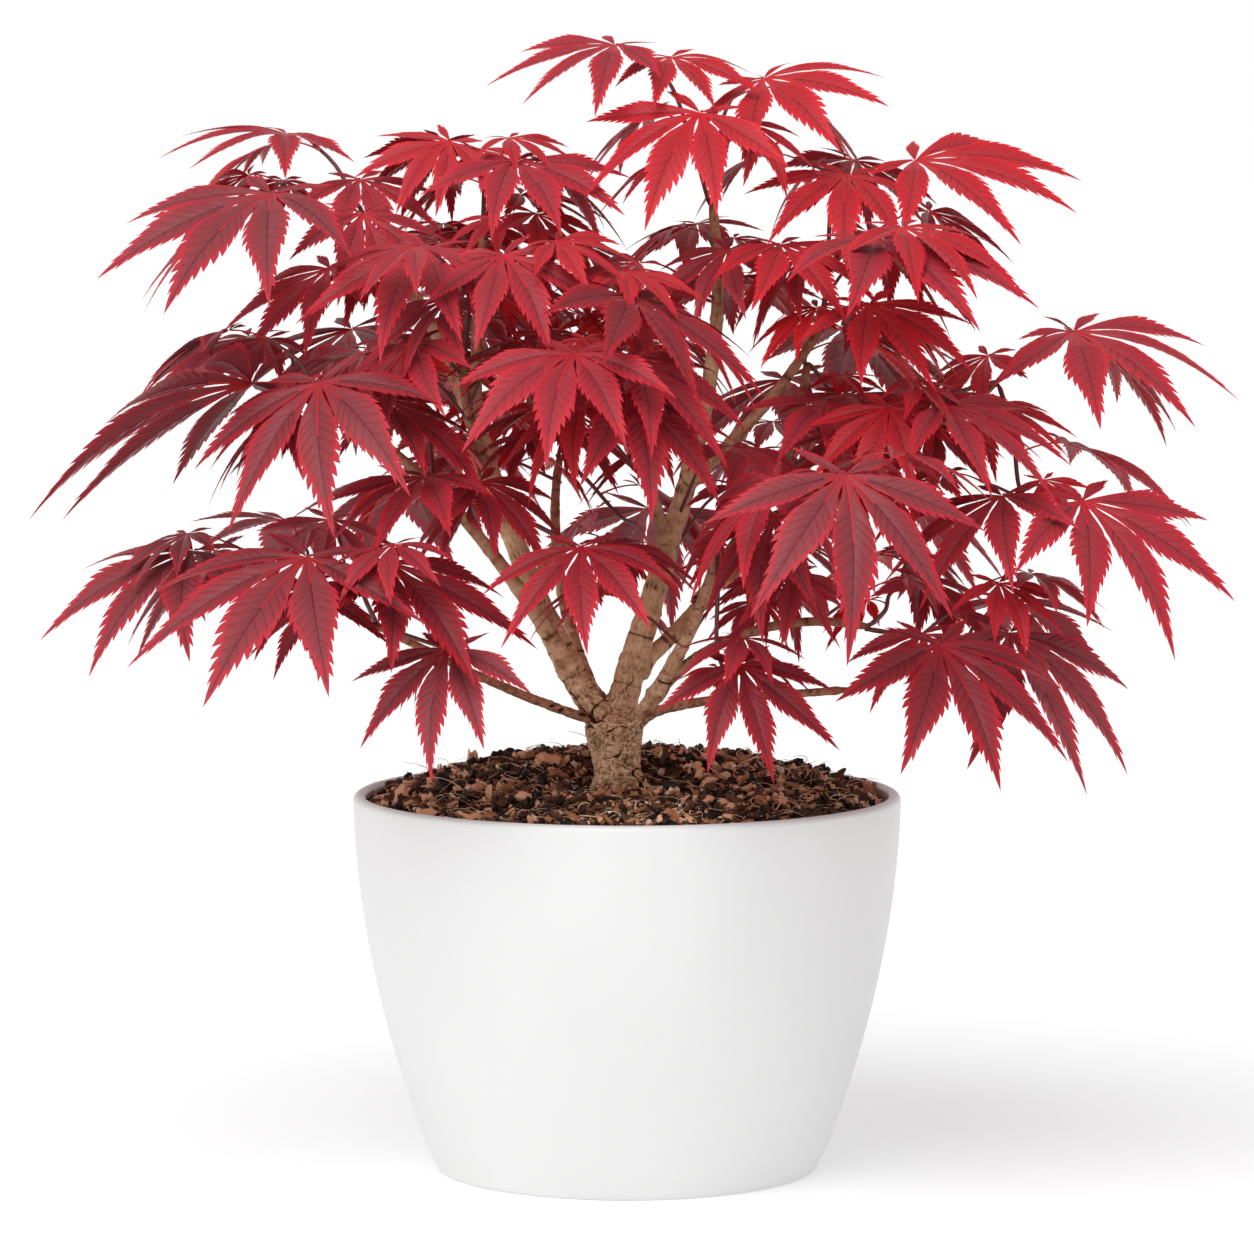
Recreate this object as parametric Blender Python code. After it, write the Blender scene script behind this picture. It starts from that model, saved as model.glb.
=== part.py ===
"""A young red japanese maple in a round tapered pot.

The plant is built as it grows: a short trunk out of the soil, boughs that fork
from it and from each other, and on each bough's tip a few sprays, each one twig
with seven-lobed leaves on it.  Metres, +Z up; the origin is the middle of the
pot's underside and -Y is the plant's face.
"""
import math
import random

import bmesh
import bpy
from mathutils import Vector, noise
from mathutils.bvhtree import BVHTree

MM = 0.001
GAP = 0.3 * MM                    # room left between two separate solids
SCRAP = 0.001 * MM                # an edge shorter than this is dissolved

# ---------------------------------------------------------------- pot and soil
POT_HEIGHT = 159.0 * MM
POT_FOOT_RADIUS = 81.2 * MM
POT_RIM_RADIUS = 115.2 * MM
POT_CURVE = 1.85                  # how early the wall turns upright
POT_WALL = 5.4 * MM
POT_FLOOR = 6.0 * MM
POT_FOOT_ROUND = 2.2 * MM
POT_SHARP = 40                    # degrees, past which an edge stays crisp
POT_SIDES = 40
POT_RINGS = 6

SOIL_BELOW_RIM = 4.5 * MM         # at the wall
SOIL_MOUND = 20.0 * MM            # above the edge, behind the trunk
SOIL_MOUND_FALL = 2.6             # how late the mound falls to the edge
SOIL_FRONT = 0.28                 # how much lower the mound lies towards the front
SOIL_FRONT_REACH = 30.0 * MM
SOIL_LUMP = 2.2 * MM
SOIL_LUMP_SIZE = 7.0 * MM
SOIL_LUMP_FALL = 6                # lumps die away just short of the edge
SOIL_CLEAR = 0.96 * MM            # the pot is faceted, so the soil keeps inside its flats
SOIL_SIDES = 30
SOIL_RINGS = 6

# ---------------------------------------------------------------- trunk
TRUNK_X, TRUNK_Y = -3.5 * MM, -12.0 * MM
TRUNK_FOOT_Z = 161.6 * MM         # the flat cut, level with the soil
TRUNK_HEIGHT = 33.0 * MM
TRUNK_LEAN = (-2.5 * MM, 3.5 * MM)
TRUNK_SIDES = 18
# share of the height, radius in mm: root flare, waist, swelling under the fork
TRUNK_SHAPE = ((0.0, 13.2), (0.07, 11.6), (0.18, 10.5), (0.32, 10.1), (0.48, 10.6),
               (0.62, 11.6), (0.76, 12.4), (0.88, 11.6), (0.96, 9.0), (1.0, 5.0))
ROOT_COUNT = 5                    # ridges that swell into the roots
ROOT_FLARE = 0.10                 # how far they stand out at the foot, of the radius
ROOT_FALL = 4
TRUNK_RIDGE = 0.02                # what is left of them higher up
TRUNK_TURN = 0.7                  # radians by which the ridges are turned
SEAT_RADIUS = 17.0 * MM           # level patch of soil that the trunk stands on
SEAT_BLEND = 1.1                  # its slope reaches this much further, in seat radii

# ---------------------------------------------------------------- boughs
# name: parent, share of the parent's length, headings at the start and the tip,
# climbs at the start, the middle and the tip (degrees), length in mm, radius in mm
# at the start and at the tip
BOUGHS = {
    "left_leader": ("trunk", 0.72, (172, 178), (50, 71, 50), 230, (7.4, 1.9)),
    "centre_leader": ("trunk", 0.72, (14, 16), (76, 75, 100), 228, (7.3, 1.9)),
    "right_low_stem": ("trunk", 0.50, (-34, -80), (48, 50, 48), 122, (4.6, 1.8)),
    "left_back_stem": ("trunk", 0.70, (130, 80), (44, 52, 46), 146, (3.8, 1.8)),
    "low_left_bough": ("trunk", 0.80, (-155, -145), (16, 24, 26), 122, (2.3, 1.6)),
    "left_arm": ("left_leader", 0.13, (-146, -152), (54, 48, 30), 148, (3.9, 1.8)),
    "left_front_bough": ("left_leader", 0.50, (-120, -88), (48, 48, 44), 78, (2.6, 1.7)),
    "front_low_bough": ("left_leader", 0.30, (-84, -74), (22, 20, 16), 76, (2.3, 1.6)),
    "left_stem": ("left_leader", 0.55, (150, 10), (72, 84, 82), 98, (2.9, 1.8)),
    "back_left_bough": ("left_leader", 0.38, (110, 148), (40, 38, 34), 112, (2.7, 1.7)),
    "centre_front_bough": ("centre_leader", 0.36, (-110, -100), (44, 40, 34), 92, (2.9, 1.8)),
    "right_inner_stem": ("centre_leader", 0.11, (31, -4), (34, 58, 84), 156, (3.8, 1.8)),
    "right_upper_bough": ("centre_leader", 0.48, (-22, -17), (38, 48, 58), 88, (3.1, 1.8)),
    "right_far_bough": ("right_inner_stem", 0.36, (-11, -11), (32, 36, 38), 144, (2.6, 1.7)),
    "back_right_bough": ("right_inner_stem", 0.28, (62, 40), (42, 36, 30), 104, (2.7, 1.7)),
    "right_side_bough": ("right_low_stem", 0.26, (-34, -29), (46, 18, -8), 112, (2.6, 1.7)),
    "low_right_bough": ("right_low_stem", 0.16, (-54, -34), (18, 8, 8), 118, (2.3, 1.6)),
}
BOUGH_TAPER = 0.68                # under 1: thins soon after its foot
BOUGH_SIDES = 6
BOUGH_RING_STEP = 20.0 * MM

# ---------------------------------------------------------------- sprays
# name: bough, where the lead leaf joins its stalk (x, y, z in mm), that leaf's
# length in mm, its heading, droop and roll in degrees, leaves in all, seed
SPRAYS = {
    "top_left_spray": ("left_leader", (-143, 20, 434), 64, 239, 4, -8, 4, 6),
    "upper_left_spray": ("left_leader", (-146, -40, 411), 85, 235, 23, -5, 4, 10),
    "left_shoulder_spray": ("left_leader", (-124, 0, 379), 60, 220, 32, -4, 3, 5),
    "left_outer_spray": ("left_arm", (-153, -60, 334), 101, 196, 15, 25, 3, 5),
    "left_front_spray": ("left_arm", (-124, -90, 336), 78, 271, 36, 17, 3, 2),
    "left_mid_spray": ("left_arm", (-159, 15, 354), 84, 206, 20, 0, 3, 6),
    "low_left_outer_spray": ("low_left_bough", (-179, -40, 264), 75, 227, 26, -6, 4, 8),
    "low_left_front_spray": ("low_left_bough", (-128, -110, 267), 88, 240, 28, -8, 3, 3),
    "low_left_inner_spray": ("low_left_bough", (-71, -110, 230), 57, 250, 40, 0, 2, 6),
    "front_left_upper_spray": ("left_front_bough", (-81, -60, 389), 73, 241, 24, -4, 4, 6),
    "front_left_spray": ("left_front_bough", (-50, -80, 387), 58, 298, 30, 15, 3, 1),
    "front_left_low_spray": ("front_low_bough", (-82, -78, 297), 56, 250, 18, 4, 3, 5),
    "centre_front_spray": ("centre_front_bough", (-21, -120, 349), 68, 255, 26, -2, 4, 5),
    "centre_face_spray": ("centre_front_bough", (0, -105, 332), 64, 290, 38, -9, 4, 1),
    "centre_upper_spray": ("centre_front_bough", (2, -95, 370), 71, 295, 22, -12, 4, 5),
    "centre_low_spray": ("front_low_bough", (-18, -110, 271), 58, 268, 32, 4, 3, 6),
    "top_mid_left_spray": ("left_stem", (-74, 10, 432), 44, 229, 28, -20, 3, 7),
    "top_mid_spray": ("left_stem", (-46, -28, 424), 62, 292, 18, 4, 5, 5),
    "crown_tip_spray": ("centre_leader", (-5, 0, 472), 56, 234, 22, -6, 5, 9),
    "crown_front_spray": ("centre_leader", (30, -30, 444), 66, 240, 38, -20, 4, 9),
    "crown_right_spray": ("centre_leader", (57, 8, 458), 65, 299, 16, 20, 4, 5),
    "upper_right_spray": ("right_upper_bough", (120, 0, 424), 77, 330, 6, 12, 5, 4),
    "upper_right_front_spray": ("right_upper_bough", (100, -60, 392), 86, 300, 18, 0, 4, 1),
    "mid_right_spray": ("right_upper_bough", (99, -50, 366), 66, 300, 30, 8, 3, 2),
    "inner_right_spray": ("right_inner_stem", (92, 10, 345), 64, 300, 24, 0, 5, 7),
    "far_right_spray": ("right_far_bough", (186, -10, 353), 82, 307, 16, 6, 3, 5),
    "right_outer_spray": ("right_far_bough", (186, -60, 286), 80, 316, 29, 5, 4, 6),
    "right_mid_spray": ("right_far_bough", (129, -60, 325), 62, 322, 22, 8, 5, 8),
    "right_low_outer_spray": ("right_side_bough", (156, -70, 233), 78, 300, 42, -6, 3, 7),
    "right_low_inner_spray": ("right_side_bough", (122, -30, 252), 44, 300, 35, -5, 3, 3),
    "low_right_front_spray": ("low_right_bough", (125, -110, 232), 74, 300, 40, 4, 2, 1),
    "right_front_spray": ("right_low_stem", (86, -140, 302), 79, 277, 45, -4, 3, 8),
    "right_face_spray": ("right_low_stem", (59, -100, 283), 60, 262, 52, 8, 4, 3),
    "low_centre_spray": ("right_low_stem", (45, -110, 224), 54, 290, 45, 8, 2, 8),
    "back_left_spray": ("back_left_bough", (-120, 100, 350), 78, 138, 30, 0, 5, 6),
    "back_left_low_spray": ("back_left_bough", (-95, 110, 285), 76, 120, 35, 0, 4, 3),
    "back_centre_spray": ("left_back_stem", (-20, 120, 345), 80, 95, 28, 0, 5, 5),
    "back_centre_low_spray": ("left_back_stem", (10, 120, 270), 74, 75, 38, 0, 4, 7),
    "back_right_spray": ("back_right_bough", (95, 100, 350), 80, 52, 28, 0, 5, 10),
    "back_right_low_spray": ("back_right_bough", (110, 95, 285), 76, 35, 36, 0, 4, 9),
}
STEM_RADII = (1.15 * MM, 0.80 * MM)
STALK_RADII = (0.60 * MM, 0.42 * MM)
STALK_SHARE = 0.34                # stalk length as a share of the leaf's
STALK_RISE = 12                   # degrees
YOUNG_RISE = 60                   # a young leaf stands up over the twig's end
YOUNG_STALK = 0.5
STALK_ROOT = 0.015                # how far short of the leaf's heart the stalk ends
LEAD_SHARE = 0.985                # where on its twig the lead leaf's stalk stands
TIP_SPREAD = 0.70                 # where side twigs stand on a bough's end, of its radius
TWIG_STEPS = 3
TWIG_STRAIGHT = 1.6 * MM          # a twig leaves a bough's end in line with it
TWIG_FOOT = 0.72                  # radius at its foot, of the radius past it
TWIG_ARRIVE = 15                  # climb at its end, degrees
TWIG_PULL = 0.30                  # how far each end's way carries into the curve

# one twig's further leaves: share of the twig, turn from the lead leaf, size
# against it, rise of the stalk; the turns are mirrored from spray to spray
FILL_PLAN = ((0.92, 68, 0.84, STALK_RISE), (0.60, -62, 0.80, STALK_RISE),
             (0.96, 12, 0.52, YOUNG_RISE), (0.54, 96, 0.70, STALK_RISE),
             (0.34, -100, 0.70, STALK_RISE))
FILL_SIZE = (0.90, 1.08)
FILL_DROOP = (14, 40)
FILL_ROLL = 8
FILL_SWAY = 8                     # degrees either way

# each further try at a place moves a little more than the one before it
TRIES = 14
TRY_TWIG_TURN, TRY_TWIG_CLIMB, TRY_TWIG_PULL = 9, 3, 0.02
TRY_LEAD_SWAY, TRY_LEAD_SHRINK = 3, 0.02
TRY_FILL_SWAY, TRY_FILL_SHRINK = 3, 0.025

# ---------------------------------------------------------------- the leaf
# each lobe: degrees from the middle lobe, length against the middle lobe's
LEAF_LOBES = ((-118, 0.32), (-69, 0.76), (-33, 0.94), (0, 1.0), (33, 0.94), (69, 0.76), (118, 0.32))
LOBE_WIDTH = 0.125                # half width of a lobe against its length
LOBE_BELLY = 0.50                 # how far out the lobe is widest
NOTCH = 0.20                      # where two lobes meet, against the leaf's length
NOTCH_LEAST = 0.55                # and between lobes of no length, against that
STALK_NOTCH = (0.08, -175)        # reach and angle of the notch that the stalk runs into
SMALL_LOBE = 0.5                  # a lobe shorter than this is a plain point
LEAF_THICK = 0.024
LEAF_THICK_LOBE = 0.017
LEAF_CURL = 0.16                  # how far the tips bend down

# ---------------------------------------------------------------- finishes
FINISHES = {
    "pot": ((0.86, 0.86, 0.85, 1.0), 0.42),
    "soil": ((0.050, 0.026, 0.016, 1.0), 0.95),
    "bark": ((0.26, 0.18, 0.13, 1.0), 0.85),
    "leaf": ((0.30, 0.012, 0.030, 1.0), 0.55),
}


# ---------------------------------------------------------------- helpers
def clear_scene():
    for thing in list(bpy.data.objects):
        bpy.data.objects.remove(thing, do_unlink=True)


def finish(name, kind):
    colour, roughness = FINISHES[kind]
    material = bpy.data.materials.new(name + "_" + kind)
    material.use_nodes = True
    shader = material.node_tree.nodes["Principled BSDF"]
    shader.inputs["Base Color"].default_value = colour
    shader.inputs["Roughness"].default_value = roughness
    return material


def object_from(name, points, faces, kind=None, collection=None):
    mesh = bpy.data.meshes.new(name)
    mesh.from_pydata([tuple(p) for p in points], [], faces)
    mesh.update()
    thing = bpy.data.objects.new(name, mesh)
    (collection or bpy.context.scene.collection).objects.link(thing)
    if kind:
        mesh.materials.append(finish(name, kind))
    return thing


def direction(heading, climb):
    """Unit vector from a heading and a climb in degrees."""
    h, c = math.radians(heading), math.radians(climb)
    return Vector((math.cos(c) * math.cos(h), math.cos(c) * math.sin(h), math.sin(c)))


def rings_to_solid(rings):
    """Join rings of equal count into a skin with a flat cap at each end."""
    count = len(rings[0])
    points = [p for ring in rings for p in ring]
    faces = []
    for k in range(len(rings) - 1):
        for i in range(count):
            j = (i + 1) % count
            faces.append((k * count + i, k * count + j, (k + 1) * count + j, (k + 1) * count + i))
    last = (len(rings) - 1) * count
    faces.append(tuple(reversed(range(count))))
    faces.append(tuple(last + i for i in range(count)))
    return points, faces


def tube(path, radii, sides):
    """Points and faces of a solid that follows a path with a radius at each point."""
    rings = []
    across = None
    for k, centre in enumerate(path):
        ahead = path[min(k + 1, len(path) - 1)] - path[max(k - 1, 0)]
        ahead.normalize()
        if across is None:
            across = ahead.orthogonal().normalized()
        across = (across - ahead * across.dot(ahead)).normalized()
        third = ahead.cross(across)
        turns = [2 * math.pi * i / sides for i in range(sides)]
        rings.append([centre + radii[k] * (across * math.cos(a) + third * math.sin(a)) for a in turns])
    return rings_to_solid(rings)


def turned(profile, sides):
    """Points and faces of a solid turned about Z; the profile runs from foot to top."""
    turns = [2 * math.pi * i / sides for i in range(sides)]
    rings = [[Vector((r * math.cos(a), r * math.sin(a), z)) for a in turns] for r, z in profile]
    return rings_to_solid(rings)


def tree_of(points, faces):
    return BVHTree.FromPolygons([tuple(p) for p in points], faces)


# ---------------------------------------------------------------- pot and soil
def pot_radius(z):
    upright = 1.0 - min(max(z / POT_HEIGHT, 0.0), 1.0)
    return POT_RIM_RADIUS - (POT_RIM_RADIUS - POT_FOOT_RADIUS) * upright ** POT_CURVE


def make_pot():
    foot = POT_FOOT_ROUND
    profile = [(pot_radius(0) - foot, 0.0), (pot_radius(0) - 0.3 * foot, 0.3 * foot)]
    top = POT_HEIGHT - POT_WALL / 2
    for k in range(1, POT_RINGS + 1):
        z = foot + (top - foot) * k / POT_RINGS
        profile.append((pot_radius(z), z))
    middle = pot_radius(top) - POT_WALL / 2
    for step in (45, 90, 135):
        a = math.radians(step)
        profile.append((middle + POT_WALL / 2 * math.cos(a), top + POT_WALL / 2 * math.sin(a)))
    for k in range(POT_RINGS // 2 + 1):
        z = top - (top - POT_FLOOR) * k / (POT_RINGS // 2)
        profile.append((pot_radius(z) - POT_WALL, z))
    points, faces = turned(profile, POT_SIDES)
    pot = object_from("pot", points, faces, "pot")
    pot.data.shade_smooth()
    pot.data.set_sharp_from_angle(angle=math.radians(POT_SHARP))
    return pot


def soil_height(x, y):
    """Top of the soil: level at the trunk's seat, mounded behind, lumpy, low at the wall."""
    edge = POT_HEIGHT - SOIL_BELOW_RIM
    out = min(math.hypot(x, y) / (POT_RIM_RADIUS - POT_WALL), 1.0)
    behind = 1 - SOIL_FRONT + SOIL_FRONT * math.tanh(y / SOIL_FRONT_REACH)
    mound = edge + SOIL_MOUND * behind * (1 - out ** SOIL_MOUND_FALL)
    bump = noise.noise(Vector((x, y, 0.0)) / SOIL_LUMP_SIZE)
    lumps = SOIL_LUMP * bump * (1 - out ** SOIL_LUMP_FALL)
    near = math.hypot(x - TRUNK_X, y - TRUNK_Y) / SEAT_RADIUS
    away = min(max((near - 1.0) / SEAT_BLEND, 0.0), 1.0)
    away = away * away * (3 - 2 * away)
    return (TRUNK_FOOT_Z - GAP) * (1 - away) + (mound + lumps) * away


def make_soil():
    bottom = POT_FLOOR + GAP
    edge_z = POT_HEIGHT - SOIL_BELOW_RIM
    rings = []
    turns = [2 * math.pi * (i + 0.5) / SOIL_SIDES for i in range(SOIL_SIDES)]
    for k in range(POT_RINGS // 2 + 1):
        z = bottom + (edge_z - bottom) * k / (POT_RINGS // 2)
        radius = pot_radius(z) - POT_WALL - SOIL_CLEAR
        rings.append([Vector((radius * math.cos(a), radius * math.sin(a), z)) for a in turns])
    wall = POT_RIM_RADIUS - POT_WALL - SOIL_CLEAR
    for k in range(1, SOIL_RINGS + 1):
        inward = k / SOIL_RINGS
        radius = wall + (SEAT_RADIUS - wall) * inward
        ring = []
        for a in turns:
            x = TRUNK_X * inward + radius * math.cos(a)
            y = TRUNK_Y * inward + radius * math.sin(a)
            ring.append(Vector((x, y, soil_height(x, y))))
        rings.append(ring)
    points, faces = rings_to_solid(rings)
    return object_from("soil", points, faces, "soil")


# ---------------------------------------------------------------- trunk and boughs
def trunk_axis(share):
    return Vector((TRUNK_X + TRUNK_LEAN[0] * share, TRUNK_Y + TRUNK_LEAN[1] * share,
                   TRUNK_FOOT_Z + TRUNK_HEIGHT * share))


def trunk_solid(extra=0.0):
    rings = []
    for share, radius in TRUNK_SHAPE:
        centre = trunk_axis(share)
        centre.z += extra * (share - 0.5) * 2
        flare = ROOT_FLARE * (1 - share) ** ROOT_FALL + TRUNK_RIDGE
        ring = []
        for i in range(TRUNK_SIDES):
            a = 2 * math.pi * i / TRUNK_SIDES
            r = radius * MM * (1 + flare * math.cos(ROOT_COUNT * a + TRUNK_TURN)) + extra
            ring.append(centre + Vector((r * math.cos(a), r * math.sin(a), 0.0)))
        rings.append(ring)
    return rings_to_solid(rings)


def bough_path(start, row):
    """Axis of a bough, whose heading and climb change evenly along it, and its radii."""
    headings, climbs, length, (thick, thin) = row[2:]
    steps = max(4, round(length * MM / BOUGH_RING_STEP))
    path = [start]
    for k in range(steps):
        s = (k + 0.5) / steps
        heading = headings[0] + (headings[1] - headings[0]) * s
        climb = (climbs[0] * (1 - s) * (1 - 2 * s) + climbs[1] * 4 * s * (1 - s)
                 + climbs[2] * s * (2 * s - 1))
        path.append(path[-1] + direction(heading, climb) * (length * MM / steps))
    radii = [(thick + (thin - thick) * (k / steps) ** BOUGH_TAPER) * MM for k in range(steps + 1)]
    return path, radii


def point_along(path, share):
    place = share * (len(path) - 1)
    k = min(int(place), len(path) - 2)
    return path[k].lerp(path[k + 1], place - k)


def largest_shell(mesh):
    """Keep the one shell with the greatest volume: scraps and inner shells go."""
    work = bmesh.new()
    work.from_mesh(mesh)
    bmesh.ops.dissolve_degenerate(work, edges=work.edges, dist=SCRAP)
    bmesh.ops.triangulate(work, faces=work.faces)
    unseen = set(work.faces)
    shells = []
    while unseen:
        front = [unseen.pop()]
        shell = set(front)
        while front:
            face = front.pop()
            for edge in face.edges:
                for other in edge.link_faces:
                    if other in unseen:
                        unseen.discard(other)
                        shell.add(other)
                        front.append(other)
        volume = sum(f.verts[0].co.dot(f.verts[1].co.cross(f.verts[2].co)) for f in shell) / 6
        shells.append((volume, shell))
    best = max(shells, key=lambda item: item[0])[1]
    bmesh.ops.delete(work, geom=[f for f in work.faces if f not in best], context="FACES")
    closed = all(len(e.link_faces) == 2 for e in work.edges)
    work.to_mesh(mesh)
    work.free()
    return closed


def boolean(thing, others, operation):
    """Apply one Boolean with a collection of solids; EXACT, or MANIFOLD where that leaves a hole."""
    group = bpy.data.collections.new("group")
    for other in others:
        group.objects.link(other)
    change = thing.modifiers.new("Join", "BOOLEAN")
    change.operation = operation
    change.operand_type = "COLLECTION"
    change.collection = group
    for solver in ("EXACT", "MANIFOLD"):
        change.solver = solver
        bpy.context.view_layer.update()
        seen = thing.evaluated_get(bpy.context.evaluated_depsgraph_get())
        result = bpy.data.meshes.new_from_object(seen)
        closed = largest_shell(result)
        if closed and len(result.polygons) > len(thing.data.polygons) // 2:
            break
    thing.modifiers.remove(change)
    old = thing.data
    result.name = old.name
    thing.data = result
    bpy.data.meshes.remove(old)
    bpy.data.collections.remove(group)
    return closed


def make_limbs():
    """Trunk and boughs; each bough's foot is cut 0.3 mm clear of the limbs that it leaves."""
    points, faces = trunk_solid()
    object_from("trunk", points, faces, "bark")
    limbs = {"trunk": ([trunk_axis(k / 8) for k in range(9)], None)}
    solids = {"trunk": tree_of(points, faces)}
    fat = {"trunk": trunk_solid(GAP)}
    for name, row in BOUGHS.items():
        start = point_along(limbs[row[0]][0], row[1])
        path, radii = bough_path(start, row)
        points, faces = tube(path, radii, BOUGH_SIDES)
        bough = object_from(name, points, faces, "bark")
        own = tree_of(points, faces)
        cutters = []
        for other, (fat_points, fat_faces) in fat.items():
            if own.overlap(tree_of(fat_points, fat_faces)):
                cutters.append(object_from("cutter", fat_points, fat_faces))
        boolean(bough, cutters, "DIFFERENCE")
        for cutter in cutters:
            bpy.data.objects.remove(cutter, do_unlink=True)
        limbs[name] = (path, radii)
        solids[name] = own
        fat[name] = tube(path, [r + GAP for r in radii], BOUGH_SIDES)
    return limbs, solids


# ---------------------------------------------------------------- leaves
def leaf_axes(heading, droop, roll):
    ahead = direction(heading, -droop)
    side = direction(heading + 90, 0)
    up = ahead.cross(side)
    tilt = math.radians(roll)
    return (ahead, side * math.cos(tilt) + up * math.sin(tilt),
            up * math.cos(tilt) - side * math.sin(tilt))


def leaf_solid(place, length, heading, droop, roll, extra=0.0):
    """A thin closed blade with seven lobes, thick on its ribs and sharp at its edge."""
    ahead, side, up = leaf_axes(heading, droop, roll)

    def at(reach, angle, lift=0.0):
        a = math.radians(angle)
        fall = LEAF_CURL * reach * reach / length
        return place + (ahead * math.cos(a) + side * math.sin(a)) * reach + up * (lift - fall)

    points, faces = [], []

    def add(point):
        points.append(point)
        return len(points) - 1

    def both(*corners):
        """One face above, and its mirror below, where corners are (upper, lower) pairs."""
        faces.append(tuple(c[0] for c in corners))
        faces.append(tuple(c[1] for c in reversed(corners)))

    def rim(reach, angle):
        k = add(at(reach, angle))
        return (k, k)

    def rib(reach, angle, thick):
        lift = thick * length / 2 + extra
        return (add(at(reach, angle, lift)), add(at(reach, angle, -lift)))

    heart = rib(0.0, 0.0, LEAF_THICK)
    before = rim(STALK_NOTCH[0] * length, STALK_NOTCH[1])
    first = before
    for k, (angle, share) in enumerate(LEAF_LOBES):
        reach = share * length
        tip = rim(reach, angle)
        if k + 1 < len(LEAF_LOBES):
            half = (LEAF_LOBES[k + 1][0] + angle) / 2
            small = min(share, LEAF_LOBES[k + 1][1])
            after = rim(NOTCH * length * (NOTCH_LEAST + (1 - NOTCH_LEAST) * small), half)
        else:
            after = first
        if share < SMALL_LOBE:
            both(heart, before, tip)
            both(heart, tip, after)
        else:
            swing = math.degrees(math.atan2(LOBE_WIDTH, LOBE_BELLY))
            belly = math.hypot(LOBE_WIDTH, LOBE_BELLY) * reach
            right, left = rim(belly, angle - swing), rim(belly, angle + swing)
            middle = rib(LOBE_BELLY * reach, angle, LEAF_THICK_LOBE)
            ends = (heart, before, right, tip, left, after, heart)
            for one, two in zip(ends, ends[1:]):
                both(middle, one, two)
        before = after
    return points, faces


def curve_between(start, start_way, end, end_way, pull):
    """A twig's smooth path from start to end, which leaves and arrives in the given ways."""
    reach = (end - start).length * pull
    a, b = start + start_way * reach, end - end_way * reach
    path = []
    for k in range(TWIG_STEPS + 1):
        t = k / TWIG_STEPS
        path.append(start * (1 - t) ** 3 + a * (3 * t * (1 - t) ** 2)
                    + b * (3 * t * t * (1 - t)) + end * t ** 3)
    return path


class Spray:
    """One twig from a bough's tip, with its leaves."""

    def __init__(self, name, row):
        self.name = name
        self.bough, place, length, heading, droop, roll, self.count, seed = row
        self.place = Vector(place) * MM
        self.lead = (length * MM, heading, droop, roll)
        self.random = random.Random(seed)
        self.hand = 1 if seed % 2 else -1
        self.parts = []           # points and faces of every solid in the spray
        self.leaves = []          # place, length, heading, droop, roll of every blade
        # where the lead leaf's stalk leaves the twig
        self.node = self.place - direction(heading, STALK_RISE) * (length * MM * STALK_SHARE)


def free_of(tree, obstacles, skip=()):
    return not any(other.overlap(tree) for owner, other in obstacles if owner not in skip)


def add_leaf(spray, node, place, length, heading, droop, roll, obstacles):
    """Add a blade and its stalk when neither touches anything."""
    blade = leaf_solid(place, length, heading, droop, roll)
    wide = leaf_solid(place, length, heading, droop, roll, GAP)
    if not free_of(tree_of(*wide), obstacles):
        return False
    root = place - leaf_axes(heading, droop, roll)[0] * (STALK_ROOT * length)
    stalk = tube([node, root], STALK_RADII, 3)
    thick = tube([node, root], [r + GAP for r in STALK_RADII], 3)
    if not free_of(tree_of(*thick), obstacles, (spray.name + "_wood",)):
        return False
    spray.parts += [stalk, blade]
    spray.leaves.append((place, length, heading, droop, roll))
    obstacles.append((spray.name + "_blade", tree_of(*blade)))
    obstacles.append((spray.name + "_wood", tree_of(*stalk)))
    return True


def stand_on_tip(mates, tip, along, radius):
    """Starting points of the twigs on a bough's end, shared out evenly round it."""
    if len(mates) == 1:
        return {mates[0].name: tip + along * GAP}
    across = along.orthogonal().normalized()
    third = along.cross(across)
    angles = {m.name: math.atan2((m.node - tip).dot(third), (m.node - tip).dot(across)) for m in mates}
    order = sorted(angles, key=angles.get)
    part = 2 * math.pi / len(order)
    lag = [angles[name] - k * part for k, name in enumerate(order)]
    turn = math.atan2(sum(math.sin(a) for a in lag), sum(math.cos(a) for a in lag))
    starts = {}
    for k, name in enumerate(order):
        a = turn + k * part
        starts[name] = tip + along * GAP + (across * math.cos(a) + third * math.sin(a)) * radius
    return starts


def lay_twig(spray, start, along, obstacles):
    """The spray's twig: the first of a few gentle curves that touches nothing."""
    heading = spray.lead[1]
    for k in range(TRIES):
        turn = TRY_TWIG_TURN * k * (1 if k % 2 == 0 else -1)
        arrive = direction(heading + turn, TWIG_ARRIVE + TRY_TWIG_CLIMB * k)
        pull = TWIG_PULL + TRY_TWIG_PULL * (k % 5)
        path = curve_between(start, along, spray.node, arrive, pull)
        path.insert(1, start + along * TWIG_STRAIGHT)
        thick, thin = STEM_RADII
        last = len(path) - 1
        radii = [thick * TWIG_FOOT] + [thick + (thin - thick) * i / last for i in range(1, last + 1)]
        clear = free_of(tree_of(*tube(path, [r + GAP / 2 for r in radii], 3)), obstacles,
                        (spray.bough,))
        if clear:
            break
    spray.twig = path
    spray.parts.append(tube(path, radii, 3))
    obstacles.append((spray.name + "_wood", tree_of(*spray.parts[0])))
    return clear


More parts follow.
